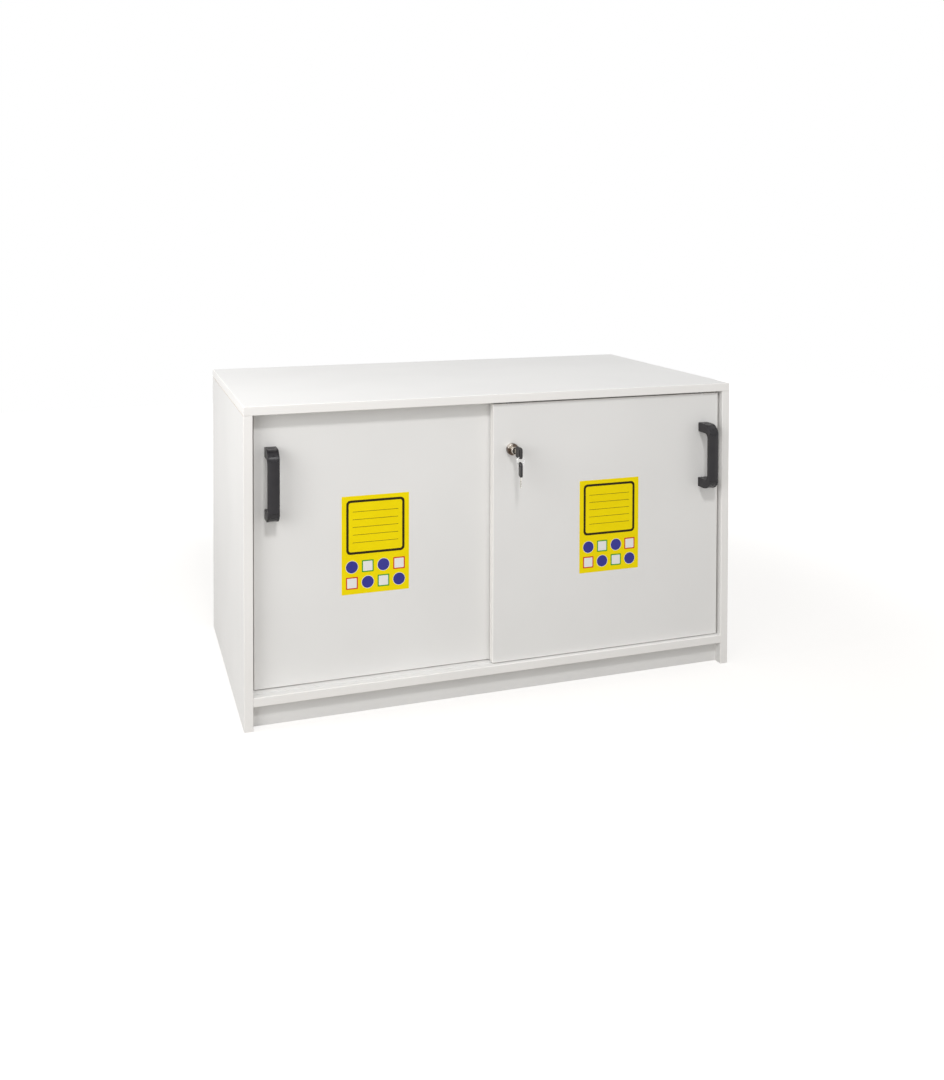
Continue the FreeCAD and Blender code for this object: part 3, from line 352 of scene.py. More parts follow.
# %% [markdown]
# ## Metals
#
# The lock is nickel-plated zinc, the key blades are milled nickel silver, and screws, pins and the
# strike plate are zinc-plated steel, a little bluer and duller. A metal's colour is its reflection, so
# the difference between them is mostly roughness and the run of the tool marks, which a stretched noise
# draws.

# %% A metal
MARK_SPREAD = 0.07


def metal(name, tone, roughness, mark_mm, mark_depth_mm, stretch=(1, 1, 1)):
    """Metal with tool marks, which a stretch along an axis draws out into lines."""
    material, tree, shader = new_material(name)
    where = add(tree, "ShaderNodeTexCoord").outputs["Object"]
    lines = add(tree, "ShaderNodeMapping", {"Vector": where, "Scale": stretch}).outputs["Vector"]
    shader.inputs["Base Color"].default_value = colour(tone)
    shader.inputs["Metallic"].default_value = 1.0
    pattern = {"Vector": lines, "Scale": MM_IN_A_METRE / mark_mm, "Detail": 3.0}
    marks = add(tree, "ShaderNodeTexNoise", pattern).outputs["Fac"]
    spread = {"To Min": roughness - MARK_SPREAD, "To Max": roughness + MARK_SPREAD}
    rough = add(tree, "ShaderNodeMapRange", {"Value": marks, **spread})
    bump = add(tree, "ShaderNodeBump", {"Height": marks, "Distance": mark_depth_mm / MM_IN_A_METRE})
    tree.links.new(rough.outputs["Result"], shader.inputs["Roughness"])
    tree.links.new(bump.outputs["Normal"], shader.inputs["Normal"])
    return material


# Bright nickel over a polished barrel: nearly a mirror, warmer than chrome.
nickel_plate = metal("bright_nickel_plate", "#C9C2B9", 0.17, 1.2, 0.003, stretch=(1, 6, 1))
# Milled nickel silver: pale, with straight lines along the blade.
key_metal = metal("milled_nickel_silver", "#D8D6D0", 0.26, 0.8, 0.006, stretch=(1, 0.1, 1))
# Bright zinc plate: bluish grey, softly frosted.
zinc_plate = metal("zinc_plated_steel", "#C4C6C8", 0.3, 0.9, 0.006)
# Die-cast zinc as it leaves the mould: dull and slightly pitted.
cast_zinc = metal("die_cast_zinc", "#A9A8A6", 0.42, 0.7, 0.02)
# Hard-drawn spring wire, nickel-plated: the brightest metal here.
spring_wire = metal("nickel_plated_spring_wire", "#DADBDC", 0.14, 0.6, 0.003)
for node in ("lock_barrel", "lock_plug"):
    dress(node, nickel_plate)
for node in ("key_blade", "spare_key_blade"):
    dress(node, key_metal)
dress("cam_fittings", cast_zinc)
for node in (
    "front_handle_screws", "rear_handle_screws", "strike_plate", "shelf_pins", "front_roller_pins",
    "rear_roller_pins",
):
    dress(node, zinc_plate)
finishes = (nickel_plate, key_metal, zinc_plate, cast_zinc, spring_wire)
print("metals:", ", ".join(finish.name for finish in finishes))

# %% [markdown]
# ### The lock's collar
#
# The collar is turned on a lathe before it is plated. Its colour carries a painted reflection: a fan of
# light and dark sectors round the lock's axis, painted in place of the dark surroundings and the highlights
# that the plated collar mirrors. The angle round the lock's axis drives that painted fan, and the distance
# from the axis drives fine turning rings, which are real bumps.

# %% Turned collar
# Painted reflection tones and turn: the dark sectors stand in for what the collar mirrors, the light ones
# are painted highlights.
PAINTED_HIGHLIGHT_TURN = math.radians(128)
PAINTED_REFLECTION_TONES = ("#5A4E45", "#D9D2CA")
TURNING_MM = 0.5
TURNING_DEPTH = 0.000006
COLLAR_ROUGHNESS = 0.2


def collar_with_painted_reflections():
    """Lathe-turned nickel plate, with a painted fan of reflections and highlights round the lock's axis."""
    low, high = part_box("lock_housing")
    material, tree, shader = new_material("nickel_plate_with_painted_reflections")
    where = add(tree, "ShaderNodeTexCoord").outputs["Object"]
    centre = (-(low.x + high.x) / 2, 0, -(low.z + high.z) / 2)
    place = add(tree, "ShaderNodeMapping", {"Vector": where, "Location": centre})
    across = add(tree, "ShaderNodeSeparateXYZ", {"Vector": place.outputs["Vector"]}).outputs
    # Painted reflection: the base colour swings between the dark and light tones with the angle round the
    # axis.
    angle = add(tree, "ShaderNodeMath", {0: across["Z"], 1: across["X"]}, operation="ARCTAN2")
    twice = {0: angle.outputs[0], 1: 2.0, 2: -2 * PAINTED_HIGHLIGHT_TURN}
    turned = add(tree, "ShaderNodeMath", twice, operation="MULTIPLY_ADD")
    painted_fan = add(tree, "ShaderNodeMath", {0: turned.outputs[0]}, operation="COSINE")
    spread = add(tree, "ShaderNodeMapRange", {"Value": painted_fan.outputs[0], "From Min": 0.2, "From Max": 0.95})
    tones = {"Factor": spread.outputs["Result"], "A": colour(PAINTED_REFLECTION_TONES[0]), "B": colour(PAINTED_REFLECTION_TONES[1])}
    tone = add(tree, "ShaderNodeMix", tones, data_type="RGBA")
    flat = add(tree, "ShaderNodeCombineXYZ", {"X": across["X"], "Y": across["Z"]})
    radius = add(tree, "ShaderNodeVectorMath", {0: flat.outputs[0]}, operation="LENGTH")
    turning = {"W": radius.outputs["Value"], "Scale": MM_IN_A_METRE / TURNING_MM}
    rings = add(tree, "ShaderNodeTexNoise", turning, noise_dimensions="1D")
    bump = add(tree, "ShaderNodeBump", {"Height": rings.outputs["Fac"], "Distance": TURNING_DEPTH})
    shader.inputs["Metallic"].default_value = 1.0
    shader.inputs["Roughness"].default_value = COLLAR_ROUGHNESS
    tree.links.new(tone.outputs["Result"], shader.inputs["Base Color"])
    tree.links.new(bump.outputs["Normal"], shader.inputs["Normal"])
    return material


dress("lock_housing", collar_with_painted_reflections())
print("collar's turning marks:", TURNING_MM, "mm apart")

# %% [markdown]
# ### Beech dowels
#
# The dowels that line the boards up are ribbed beech rods: pinkish tan, with short darker rays along the
# grain. The grain runs along the rod, and the noise that draws the tone and the rays is not stretched.

# %% Beech
RAY_MM = 1.4

beech, beech_tree, beech_shader = new_material("beech_dowel")
grain = add(beech_tree, "ShaderNodeTexCoord").outputs["Object"]
tone = mottled(beech_tree, grain, RAY_MM, colour("#A87E50"), colour("#C39B6A"), detail=4.0)
beech_tree.links.new(tone, beech_shader.inputs["Base Color"])
beech_tree.links.new(grained(beech_tree, grain, RAY_MM, 0.05), beech_shader.inputs["Normal"])
beech_shader.inputs["Roughness"].default_value = 0.7
dress("carcase_dowels", beech)
print("materials so far:", len(bpy.data.materials))

# %% [markdown]
# ## Trees of geometry nodes
#
# Screws, cam faces and the printed marks all repeat, so each has one tree, which puts its shape on a set
# of places. A tree has named inputs for its sizes, and ends by making the copies real and giving them a
# finish. The helper below runs a tree on a list of places, each a point with the direction that it
# faces, and keeps only the plain mesh.

# %% Start and end of a tree
def start_tree(name, sizes):
    """Tree with places and a material going in, a number for each named size, and a mesh coming out."""
    tree = bpy.data.node_groups.new(name, "GeometryNodeTree")
    tree.interface.new_socket("Mesh", in_out="OUTPUT", socket_type="NodeSocketGeometry")
    tree.interface.new_socket("Places", in_out="INPUT", socket_type="NodeSocketGeometry")
    tree.interface.new_socket("Material", in_out="INPUT", socket_type="NodeSocketMaterial")
    for size in sizes:
        tree.interface.new_socket(size, in_out="INPUT", socket_type="NodeSocketFloat")
    return tree, add(tree, "NodeGroupInput").outputs


def end_tree(tree, given, shape):
    """Makes the copies real, gives them the material and hands them out."""
    real = add(tree, "GeometryNodeRealizeInstances", {"Geometry": shape})
    finish = {"Geometry": real.outputs[0], "Material": given["Material"]}
    painted = add(tree, "GeometryNodeSetMaterial", finish)
    add(tree, "NodeGroupOutput", {"Mesh": painted.outputs[0]})
    print(tree.name, "tree:", len(tree.nodes), "nodes")


print("trees so far:", len(bpy.data.node_groups))


# %% Copies on places
def on_places(tree, places, shape):
    """Copies of a shape on the places, with its Z axis turned to where each place faces."""
    facing = add(tree, "GeometryNodeInputNamedAttribute", {"Name": "facing"}, data_type="FLOAT_VECTOR")
    direction = {"Vector": facing.outputs["Attribute"]}
    turn = add(tree, "FunctionNodeAlignRotationToVector", direction, axis="Z")
    copies = {"Points": places, "Instance": shape, "Rotation": turn.outputs["Rotation"]}
    return add(tree, "GeometryNodeInstanceOnPoints", copies).outputs[0]


def grown(name, tree, places, material, sizes):
    """Plain mesh that a tree makes on a list of places, each a point and the direction that it faces."""
    mesh = bpy.data.meshes.new(name)
    mesh.from_pydata([point for point, direction in places], [], [])
    facing = mesh.attributes.new("facing", "FLOAT_VECTOR", "POINT")
    for spot, (point, direction) in zip(facing.data, places):
        spot.vector = direction
    holder = bpy.data.objects.new(name, mesh)
    bpy.context.scene.collection.objects.link(holder)
    modifier = holder.modifiers.new("nodes", "NODES")
    modifier.node_group = tree
    socket = {item.name: item.identifier for item in tree.interface.items_tree if item.in_out == "INPUT"}
    modifier[socket["Material"]] = material
    for size, value in sizes.items():
        modifier[socket[size]] = value
    made = bpy.data.meshes.new_from_object(holder.evaluated_get(bpy.context.evaluated_depsgraph_get()))
    bpy.data.objects.remove(holder)
    return made


# %% Pieces
def one_piece(name, meshes, body):
    """Joins meshes, with their materials, into one object at the origin and puts it on its body."""
    parts = []
    for mesh in meshes:
        part = bpy.data.objects.new(name, mesh)
        bpy.context.scene.collection.objects.link(part)
        parts.append(part)
    if len(parts) > 1:
        with bpy.context.temp_override(active_object=parts[0], selected_editable_objects=parts):
            bpy.ops.object.join()
    parts[0].name = name
    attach(parts[0], body)
    print(name, "on", body, "with", len(parts[0].data.polygons), "faces")
    return parts[0]


def solid_boxes(node):
    """Lowest and highest corner of each separate solid of a node, in a fixed order."""
    shape = bmesh.new()
    shape.from_mesh(nodes[node].data)
    bmesh.ops.remove_doubles(shape, verts=shape.verts, dist=1e-6)
    waiting = set(shape.verts)
    boxes = []
    while waiting:
        reached = [waiting.pop()]
        points = []
        while reached:
            vert = reached.pop()
            points.append(vert.co.copy())
            for edge in vert.link_edges:
                other = edge.other_vert(vert)
                if other in waiting:
                    waiting.remove(other)
                    reached.append(other)
        low = Vector([min(point[axis] for point in points) for axis in range(3)])
        high = Vector([max(point[axis] for point in points) for axis in range(3)])
        boxes.append((low, high))
    shape.free()
    return sorted(boxes, key=lambda box: [round(value, 4) for value in (*box[0], *box[1])])


print("spigot screws found:", len(solid_boxes("spigot_screws")))

# %% [markdown]
# ## Screws and cam faces
#
# Four kinds of fixing are made here: pan-head screws in the flanges of the vent spigots, countersunk
# screws in the lock's strike plate, low screws in the roller housings, and the faces of the cams that
# draw the boards together. All have a cross recess, so they share one tree. A cone makes the sides of
# the head, the top face is drawn up in three rings for the dome, and two crossed blocks are cut out for
# the driver.

# %% Tree of a cross-recessed head
HEAD_SIZES = (
    "Head Radius", "Root Radius", "Head Depth", "Dome", "Sunk", "Recess Length", "Recess Width",
    "Recess Depth", "Shank Radius", "Shank Length",
)
DOME_ANGLES = [math.radians(angle) for angle in (0, 30, 58, 80)]
HEAD_SIDES = 24
SHANK_SIDES = 16

head_tree, given = start_tree("cross_recessed_head", HEAD_SIZES)
radii = {"Radius Top": given["Head Radius"], "Radius Bottom": given["Root Radius"]}
cone = {**radii, "Depth": given["Head Depth"], "Vertices": HEAD_SIDES}
side = add(head_tree, "GeometryNodeMeshCone", cone)
head, crown = side.outputs["Mesh"], side.outputs["Top"]
for start, end in zip(DOME_ANGLES, DOME_ANGLES[1:]):
    rise = math.sin(end) - math.sin(start)
    step = add(head_tree, "ShaderNodeMath", {0: given["Dome"], 1: rise}, operation="MULTIPLY")
    drawn_up = {"Mesh": head, "Selection": crown, "Offset Scale": step.outputs[0]}
    raised = add(head_tree, "GeometryNodeExtrudeMesh", drawn_up)
    crown = raised.outputs["Top"]
    narrower = math.cos(end) / math.cos(start)
    drawn_in = {"Geometry": raised.outputs["Mesh"], "Selection": crown, "Scale": narrower}
    head = add(head_tree, "GeometryNodeScaleElements", drawn_in).outputs[0]
top = add(head_tree, "ShaderNodeMath", {0: given["Head Depth"], 1: given["Dome"]}, operation="ADD")
at_top = add(head_tree, "ShaderNodeCombineXYZ", {"Z": top.outputs[0]})
deep = add(head_tree, "ShaderNodeMath", {0: given["Recess Depth"], 1: 2.0}, operation="MULTIPLY")
arms = []
for along, across in (("X", "Y"), ("Y", "X")):
    sides = {along: given["Recess Length"], across: given["Recess Width"], "Z": deep.outputs[0]}
    size = add(head_tree, "ShaderNodeCombineXYZ", sides)
    arm = add(head_tree, "GeometryNodeMeshCube", {"Size": size.outputs[0]})
    placed = {"Geometry": arm.outputs["Mesh"], "Translation": at_top.outputs[0]}
    arms.append(add(head_tree, "GeometryNodeTransform", placed).outputs[0])
cut = {"Mesh 1": head, "Mesh 2": arms}
recessed = add(head_tree, "GeometryNodeMeshBoolean", cut, operation="DIFFERENCE").outputs["Mesh"]
print("dome drawn up in", len(DOME_ANGLES) - 1, "rings")

# %% Shank, and the finished tree
down = add(head_tree, "ShaderNodeMath", {0: given["Shank Length"], 1: -0.5}, operation="MULTIPLY")
below = add(head_tree, "ShaderNodeCombineXYZ", {"Z": down.outputs[0]})
rod = {"Vertices": SHANK_SIDES, "Radius": given["Shank Radius"], "Depth": given["Shank Length"]}
rod = add(head_tree, "GeometryNodeMeshCylinder", rod).outputs["Mesh"]
shank = add(head_tree, "GeometryNodeTransform", {"Geometry": rod, "Translation": below.outputs[0]})
screw = add(head_tree, "GeometryNodeJoinGeometry", {"Geometry": [recessed, shank.outputs[0]]})
sink = add(head_tree, "ShaderNodeMath", {0: given["Sunk"], 1: -1.0}, operation="MULTIPLY")
seat = add(head_tree, "ShaderNodeCombineXYZ", {"Z": sink.outputs[0]})
sunk = {"Geometry": screw.outputs[0], "Translation": seat.outputs[0]}
seated = add(head_tree, "GeometryNodeTransform", sunk)
end_tree(head_tree, given, on_places(head_tree, given["Places"], seated.outputs[0]))

# %% Vent and strike screws
pan_screw = {
    "Head Radius": 0.0036, "Root Radius": 0.0036, "Head Depth": 0.0010, "Dome": 0.0014, "Sunk": 0.0,
    "Recess Length": 0.0042, "Recess Width": 0.0009, "Recess Depth": 0.0013, "Shank Radius": 0.0017,
    "Shank Length": 0.009,
}
pan_head = pan_screw["Head Depth"] + pan_screw["Dome"]
vent_places = []
for low, high in solid_boxes("spigot_screws"):
    vent_places.append((((low.x + high.x) / 2, high.y - pan_head, (low.z + high.z) / 2), (0, 1, 0)))
vent_screws = grown("vent_screws", head_tree, vent_places, zinc_plate, pan_screw)
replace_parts(one_piece("vent_screws", [vent_screws], "cabinet"), "spigot_screws")

flat_screw = {
    "Head Radius": 0.0033, "Root Radius": 0.0016, "Head Depth": 0.0018, "Dome": 0.0, "Sunk": 0.0018,
    "Recess Length": 0.0036, "Recess Width": 0.0008, "Recess Depth": 0.0012, "Shank Radius": 0.0016,
    "Shank Length": 0.0132,
}
strike_places = []
for low, high in solid_boxes("strike_screws"):
    strike_places.append((((low.x + high.x) / 2, low.y, (low.z + high.z) / 2), (0, -1, 0)))
strike_screws = grown("strike_screws", head_tree, strike_places, zinc_plate, flat_screw)
strike_piece = one_piece("recessed_strike_screws", [strike_screws], "rear_door")
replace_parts(strike_piece, "strike_screws")

# %% Cam faces
CAM_FROM_EDGE = 0.034
CAM_FROM_ENDS = 0.100
cam_face = {
    "Head Radius": 0.0072, "Root Radius": 0.0074, "Head Depth": 0.0003, "Dome": 0.0001, "Sunk": 0.0,
    "Recess Length": 0.0082, "Recess Width": 0.0017, "Recess Depth": 0.00035, "Shank Radius": 0.005,
    "Shank Length": 0.0005,
}
carcase_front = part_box("bottom_edging")[0].y
carcase_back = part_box("bottom_panel")[1].y
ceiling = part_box("top_panel")[0].z
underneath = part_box("bottom_panel")[0].z
cam_places = []
for y in (carcase_front + CAM_FROM_ENDS, carcase_back - CAM_FROM_ENDS):
    for wall, inward in ((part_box("left_side")[1].x, 1), (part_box("right_side")[0].x, -1)):
        cam_places.append(((wall, y, ceiling - CAM_FROM_EDGE), (inward, 0, 0)))
        cam_places.append(((wall + inward * CAM_FROM_EDGE, y, underneath), (0, 0, -1)))
cam_faces = grown("cam_faces", head_tree, cam_places, cast_zinc, cam_face)
one_piece("cam_faces", [cam_faces], "cabinet")

# %% Screws of the roller housings
HOUSING_SCREW_SPACING = 0.053
low_screw = {
    "Head Radius": 0.0028, "Root Radius": 0.0029, "Head Depth": 0.0005, "Dome": 0.0004, "Sunk": 0.0,
    "Recess Length": 0.0032, "Recess Width": 0.0007, "Recess Depth": 0.0006, "Shank Radius": 0.0015,
    "Shank Length": 0.0025,
}
for door in ("front", "rear"):
    places = []
    for low, high in solid_boxes(f"{door}_roller_housings"):
        for sign in (-1, 1):
            x = (low.x + high.x) / 2 + sign * HOUSING_SCREW_SPACING / 2
            places.append(((x, (low.y + high.y) / 2, low.z), (0, 0, -1)))
    screws = grown(f"{door}_housing_screws", head_tree, places, zinc_plate, low_screw)
    one_piece(f"{door}_housing_screws", [screws], f"{door}_door")

# %% [markdown]
# ## Key ring
#
# A key ring is a split ring: nearly two turns of flattened spring wire side by side, with one step where
# the wire crosses from the first layer to the second. A ring-shaped torus looks too smooth for that. The
# tree draws a flat spiral of constant radius, lifts its second half by the thickness of the wire with a
# soft step, and sweeps a rounded rectangle along it.

# %% Tree of a split ring
def rounded_rectangle(tree, width, height, corner):
    """Closed curve of a rectangle with rounded corners."""
    plain = add(tree, "GeometryNodeCurvePrimitiveQuadrilateral", {"Width": width, "Height": height})
    rounded = {"Curve": plain.outputs["Curve"], "Count": 6, "Radius": corner}
    return add(tree, "GeometryNodeFilletCurve", rounded, mode="POLY").outputs["Curve"]


STEP_PART = 0.02

RING_SIZES = ("Radius", "Turns", "Wire Width", "Wire Thickness", "Wire Corner")
ring_tree, given = start_tree("split_ring", RING_SIZES)
radii = {"Start Radius": given["Radius"], "End Radius": given["Radius"], "Height": 0.0}
flat = add(ring_tree, "GeometryNodeCurveSpiral", {**radii, "Resolution": 64, "Rotations": given["Turns"]})
along = add(ring_tree, "GeometryNodeSplineParameter").outputs["Factor"]
half = add(ring_tree, "ShaderNodeMath", {0: given["Wire Thickness"], 1: 0.5}, operation="MULTIPLY")
other_half = add(ring_tree, "ShaderNodeMath", {0: given["Wire Thickness"], 1: -0.5}, operation="MULTIPLY")
layers = {"To Min": other_half.outputs[0], "To Max": half.outputs[0]}
step = {"Value": along, "From Min": 0.5 - STEP_PART, "From Max": 0.5 + STEP_PART, **layers}
step = add(ring_tree, "ShaderNodeMapRange", step, interpolation_type="SMOOTHSTEP")
lift = add(ring_tree, "ShaderNodeCombineXYZ", {"Z": step.outputs["Result"]})
lifted = {"Geometry": flat.outputs["Curve"], "Offset": lift.outputs[0]}
stepped = add(ring_tree, "GeometryNodeSetPosition", lifted)
level = add(ring_tree, "GeometryNodeSetCurveNormal", {"Curve": stepped.outputs[0]}, mode="Z_UP")
section = rounded_rectangle(ring_tree, given["Wire Width"], given["Wire Thickness"], given["Wire Corner"])
sweep = {"Curve": level.outputs[0], "Profile Curve": section, "Fill Caps": True}
wire = add(ring_tree, "GeometryNodeCurveToMesh", sweep)
end_tree(ring_tree, given, on_places(ring_tree, given["Places"], wire.outputs[0]))

# %% Key ring
low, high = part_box("key_ring")
wire_room = high.y - low.y
# The two turns together fit in the round wire's room, which the keys' holes leave free.
WIRE_SHARES = {"Wire Width": 0.76, "Wire Thickness": 0.38, "Wire Corner": 0.12}
ring_sizes = {"Radius": (high.x - low.x - wire_room) / 2, "Turns": 1.88}
for size, share in WIRE_SHARES.items():
    ring_sizes[size] = wire_room * share
ring_place = (((low.x + high.x) / 2, (low.y + high.y) / 2, (low.z + high.z) / 2), (0, -1, 0))
split_ring = grown("split_ring", ring_tree, [ring_place], spring_wire, ring_sizes)
for face in split_ring.polygons:
    face.use_smooth = True
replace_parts(one_piece("split_ring", [split_ring], "key_ring"), "key_ring")

# %% [markdown]
# ## Door labels
#
# A yellow self-adhesive label of A5 size sits in the middle of what shows of each door. The label here
# is a blank storage label: a black frame with ruled lines to write on, and eight blank fields for a
# colour code. Vinyl film is smoother and more saturated than paint, and screen ink stands a few
# hundredths of a millimetre proud of it, so film and ink are modelled as thin layers.

# %% Label finishes
FILM_SPECULAR = 0.12


def printed_film(name, tones, roughness, wave_mm):
    """Satin vinyl film or ink, with a slight orange peel and a low specular that keeps its colour deep."""
    material = plastic(name, tones, roughness, wave_mm, 0.005, patch_mm=60)
    material.node_tree.nodes["Principled BSDF"].inputs["Specular IOR Level"].default_value = FILM_SPECULAR
    return material


label_film = printed_film("yellow_vinyl_film", ("#FCE302", "#FFE704"), 0.5, 5.0)
# Screen inks: denser than the film, so each is one deep tone that only the coat's thickness varies.
INK_TONES = {
    "black": ("#2B2410", "#30280F"), "white": ("#F1F0EC", "#F3F2EF"), "blue": ("#3D3D96", "#42429B"),
    "red": ("#D6432C", "#DA4831"), "green": ("#4DA32A", "#52A72F"),
}
label_inks = {}
for ink, tones in INK_TONES.items():
    label_inks[ink] = printed_film(f"{ink}_screen_ink", tones, 0.45, 1.4)
print("inks:", ", ".join(label_inks))

# %% Tree of a printed mark
mark_tree, given = start_tree("printed_mark", ("Width", "Height", "Corner", "Line", "Ink"))
outer = rounded_rectangle(mark_tree, given["Width"], given["Height"], given["Corner"])
inside = []
for size in ("Width", "Height"):
    smaller = {0: given["Line"], 1: -2.0, 2: given[size]}
    inside.append(add(mark_tree, "ShaderNodeMath", smaller, operation="MULTIPLY_ADD"))
hole = rounded_rectangle(mark_tree, inside[0].outputs[0], inside[1].outputs[0], given["Line"])
has_line = add(mark_tree, "FunctionNodeCompare", {"A": given["Line"], "B": 0.0}, operation="GREATER_THAN")
choice = {"Switch": has_line.outputs[0], "True": hole}
inner = add(mark_tree, "GeometryNodeSwitch", choice, input_type="GEOMETRY")
both = add(mark_tree, "GeometryNodeJoinGeometry", {"Geometry": [outer, inner.outputs[0]]})
filled = add(mark_tree, "GeometryNodeFillCurve", {"Curve": both.outputs[0]}).outputs[0]
coat = {"Mesh": filled, "Offset Scale": given["Ink"], "Individual": False}
coat = add(mark_tree, "GeometryNodeExtrudeMesh", coat).outputs["Mesh"]
underside = add(mark_tree, "GeometryNodeFlipFaces", {"Mesh": filled}).outputs[0]
closed = add(mark_tree, "GeometryNodeJoinGeometry", {"Geometry": [coat, underside]})
closed = add(mark_tree, "GeometryNodeMergeByDistance", {"Geometry": closed.outputs[0], "Distance": 1e-6})
end_tree(mark_tree, given, on_places(mark_tree, given["Places"], closed.outputs[0]))

# %% Layout of the print
INK = 0.00004
FRAME = {"Width": 0.128, "Height": 0.116, "Corner": 0.009, "Line": 0.0052, "Ink": INK}
FRAME_UP = 0.038
RULE = {"Width": 0.100, "Height": 0.0009, "Corner": 0.0002, "Line": 0.0, "Ink": INK}
RULE_COUNT = 5
RULE_PITCH = 0.0165
FIELD = 0.026
FIELD_PITCH = 0.0345
FIELDS_DOWN = 0.064
FIELD_ORDER = ("red", "blue", "green", "blue")


def field_places(kinds, layer):
    """Places of the fields of some kinds, in four columns and two rows, on the first or second layer."""
    places = []
    for row in range(2):
        for column in range(4):
            if FIELD_ORDER[(column + row) % 4] in kinds:
                x, y = (column - 1.5) * FIELD_PITCH, (row - 0.5) * FIELD_PITCH - FIELDS_DOWN
                places.append(((x, y, (layer - 1) * INK), (0, 0, 1)))
    return places


def square(side):
    """Sizes of a field with slightly rounded corners."""
    return {"Width": side, "Height": side, "Corner": side * 0.06, "Line": 0.0, "Ink": INK}


def disc(across):
    """Sizes of a round field: its corners meet."""
    return {"Width": across, "Height": across, "Corner": across * 0.499, "Line": 0.0, "Ink": INK}


rules = [((0, FRAME_UP + (i - 2) * RULE_PITCH, 0), (0, 0, 1)) for i in range(RULE_COUNT)]
MARKS = (
    ("black", FRAME, [((0, FRAME_UP, 0), (0, 0, 1))]),
    ("black", RULE, rules),
    ("red", square(FIELD), field_places(("red",), 1)),
    ("green", square(FIELD), field_places(("green",), 1)),
    ("white", square(FIELD * 0.8), field_places(("red", "green"), 2)),
    ("white", disc(FIELD * 1.06), field_places(("blue",), 1)),
    ("blue", disc(FIELD), field_places(("blue",), 2)),
)
print("marks on a label:", sum(len(places) for ink, sizes, places in MARKS))

# %% Label film
LABEL_WIDTH = 0.148
LABEL_HEIGHT = 0.210
LABEL_CORNER = 0.0015
LABEL_FILM = 0.00022
CORNER_STEPS = 4


def film():
    """Thin plate with rounded corners, its back on z = 0."""
    shape = bmesh.new()
    corners = []
    for turn, (across, along) in enumerate(((1, -1), (1, 1), (-1, 1), (-1, -1))):
        for part in range(CORNER_STEPS + 1):
            angle = math.radians(90 * (turn - 1 + part / CORNER_STEPS))
            x = across * (LABEL_WIDTH / 2 - LABEL_CORNER) + LABEL_CORNER * math.cos(angle)
            y = along * (LABEL_HEIGHT / 2 - LABEL_CORNER) + LABEL_CORNER * math.sin(angle)
            corners.append(shape.verts.new((x, y, 0)))
    face = shape.faces.new(corners)
    raised = bmesh.ops.extrude_face_region(shape, geom=[face], use_keep_orig=True)
    raised = [item for item in raised["geom"] if isinstance(item, bmesh.types.BMVert)]
    bmesh.ops.translate(shape, verts=raised, vec=(0, 0, LABEL_FILM))
    bmesh.ops.recalc_face_normals(shape, faces=shape.faces)
    mesh = bpy.data.meshes.new("film")
    shape.to_mesh(mesh)
    shape.free()
    mesh.materials.append(label_film)
    return mesh


film_size = (LABEL_WIDTH, LABEL_HEIGHT, LABEL_FILM)
print("film in mm:", [round(side * MM_IN_A_METRE, 2) for side in film_size])

# %% Labels on the doors
LABEL_BELOW_MIDDLE = 0.003


def door_label(door, left_edge, right_edge):
    """Label in the middle of what shows of a door, between two upright edges."""
    low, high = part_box(f"{door}_door_edging")
    middle = ((left_edge + right_edge) / 2, low.y, (low.z + high.z) / 2 - LABEL_BELOW_MIDDLE)
    stand_up = Matrix.Translation(middle) @ Matrix.Rotation(math.radians(90), 4, "X")
    meshes = [film()]
    for ink, sizes, places in MARKS:
        mark = grown(f"{door}_{ink}_mark", mark_tree, places, label_inks[ink], sizes)
        mark.transform(Matrix.Translation((0, 0, LABEL_FILM)))
        meshes.append(mark)
    for mesh in meshes:
        mesh.transform(stand_up)
    one_piece(f"{door}_label", meshes, f"{door}_door")


front_low, front_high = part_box("front_door_edging")
door_label("front", front_low.x, front_high.x)
door_label("rear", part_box("rear_door_edging")[0].x, front_low.x)

# %% [markdown]
# ## Floor and background
#
# The cabinet stands on a pale floor against white. To the camera, and in reflections, the world is
# white, and the floor glows enough to come out white where it is lit, while it still shows the soft
# shadow at the cabinet's foot. Further out the glow grows, so the floor runs into the background without
# an edge. To the light that bounces onto the cabinet, the floor is only a pale surface, and the world is
# a plain, even light.

# %% White to the camera
def white_to_camera(tree):
    """1 for rays from the camera, from a reflection or through glass, and 0 for light that bounces."""
    path = add(tree, "ShaderNodeLightPath").outputs
    rays = {0: path["Is Camera Ray"], 1: path["Is Glossy Ray"]}
    seen = add(tree, "ShaderNodeMath", rays, operation="MAXIMUM")
    either = {0: seen.outputs[0], 1: path["Is Transmission Ray"]}
    return add(tree, "ShaderNodeMath", either, operation="MAXIMUM").outputs[0]


AMBIENT = 0.54

world = bpy.data.worlds.new("plain_white")
world.use_nodes = True
bpy.context.scene.world = world
background = world.node_tree.nodes["Background"]
background.inputs["Color"].default_value = (1, 1, 1, 1)
seen = white_to_camera(world.node_tree)
levels = {"Factor": seen, "A": AMBIENT, "B": 1.0}
strength = add(world.node_tree, "ShaderNodeMix", levels, data_type="FLOAT")
world.node_tree.links.new(strength.outputs["Result"], background.inputs["Strength"])
print("world light", AMBIENT)

# %% Floor
FLOOR_HALF = 4.0
FLOOR_DROP = 0.0002
FLOOR_TONE = "#A8A5A1"
GLOW_NEAR = 0.66
GLOW_FAR = 1.0
GLOW_GROWS = (0.9, 2.4)

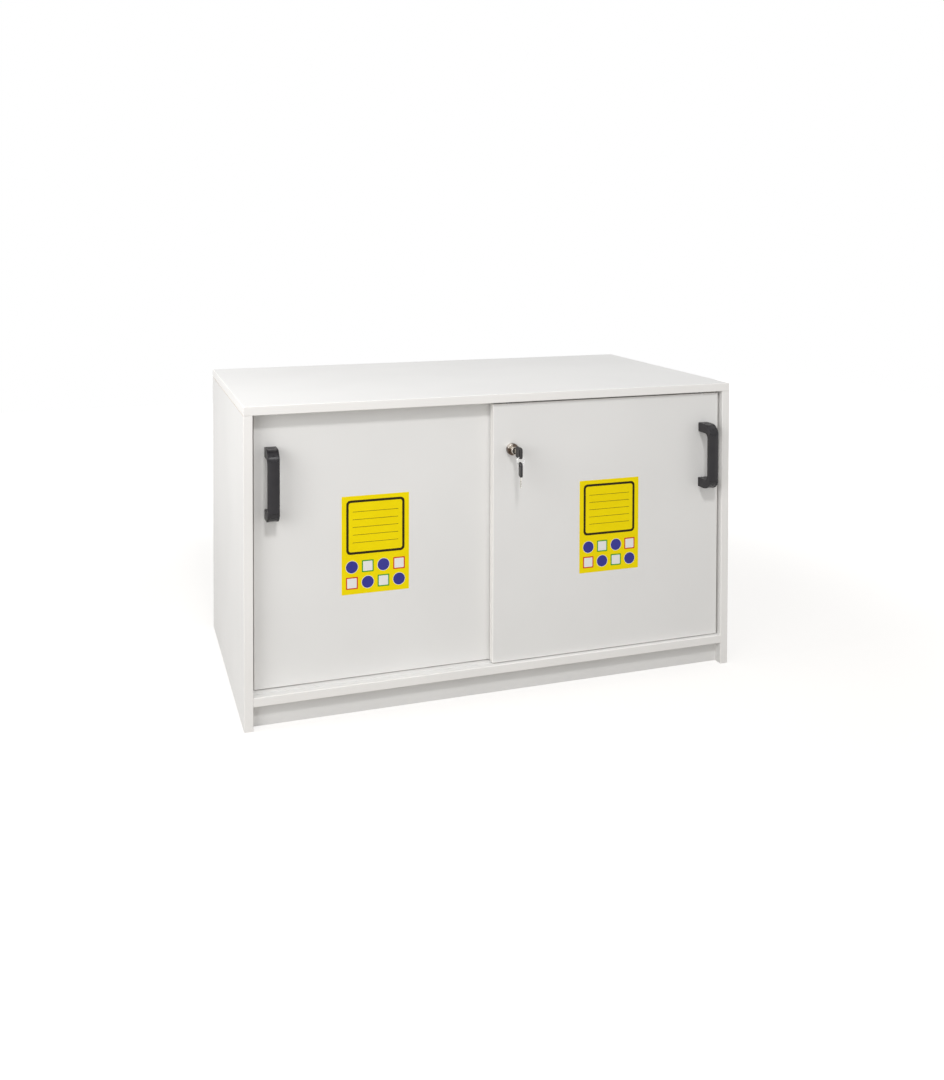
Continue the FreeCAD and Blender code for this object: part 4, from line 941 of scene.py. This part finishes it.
floor_material, floor_tree, floor_shader = new_material("pale_floor")
floor_shader.inputs["Base Color"].default_value = colour(FLOOR_TONE)
floor_shader.inputs["Roughness"].default_value = 0.85
floor_shader.inputs["Emission Color"].default_value = (1, 1, 1, 1)
spot = add(floor_tree, "ShaderNodeTexCoord").outputs["Object"]
away = add(floor_tree, "ShaderNodeVectorMath", {0: spot}, operation="LENGTH").outputs["Value"]
reach = {"Value": away, "From Min": GLOW_GROWS[0], "From Max": GLOW_GROWS[1]}
grows = {**reach, "To Min": GLOW_NEAR, "To Max": GLOW_FAR}
glow = add(floor_tree, "ShaderNodeMapRange", grows, interpolation_type="SMOOTHSTEP")
shown = {0: white_to_camera(floor_tree), 1: glow.outputs["Result"]}
shown = add(floor_tree, "ShaderNodeMath", shown, operation="MULTIPLY")
floor_tree.links.new(shown.outputs[0], floor_shader.inputs["Emission Strength"])
floor_mesh = bpy.data.meshes.new("floor")
spots = [(x * FLOOR_HALF, y * FLOOR_HALF, -FLOOR_DROP) for x, y in ((-1, -1), (1, -1), (1, 1), (-1, 1))]
floor_mesh.from_pydata(spots, [], [(0, 1, 2, 3)])
floor_mesh.materials.append(floor_material)
floor = bpy.data.objects.new("floor", floor_mesh)
bpy.context.scene.collection.objects.link(floor)
floor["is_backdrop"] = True
print("floor of", 2 * FLOOR_HALF, "m")

# %% [markdown]
# ## Lamps
#
# A small lamp high in front throws the narrow shadow under the edge of the top board onto the doors, and
# a soft one as big as a window, on the left, makes everything fade a little towards the right. A third
# stands by the left side, which fades downwards. Their strengths keep the white board just below clipped
# white.

# %% Lamps
LAMPS = {
    "key": {"place": (-0.50, -2.60, 2.90), "size": 0.35, "watts": 34.0},
    "soft": {"place": (-2.40, -2.20, 1.40), "size": 1.8, "watts": 25.0},
    "side": {"place": (-1.60, -0.20, 1.60), "size": 0.5, "watts": 8.2},
}
AIM = Vector((0.0, 0.0, 0.35))
for name, lamp in LAMPS.items():
    light = bpy.data.lights.new(name, "AREA")
    light.shape = "SQUARE"
    light.size = lamp["size"]
    light.energy = lamp["watts"]
    holder = bpy.data.objects.new(name, light)
    bpy.context.scene.collection.objects.link(holder)
    holder.location = lamp["place"]
    holder.rotation_euler = (AIM - holder.location).to_track_quat("-Z", "Y").to_euler()
    print(name, "lamp,", lamp["watts"], "W,", round((AIM - holder.location).length, 2), "m away")

# %% Finish
bpy.context.scene.view_settings.view_transform = "Standard"
sizes = {"cad": cad_box, "visual": [list(corner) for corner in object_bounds()]}
visual_size = [high - low for low, high in zip(*sizes["visual"])]
print("visual model in mm:", [round(side * MM_IN_A_METRE, 1) for side in visual_size])
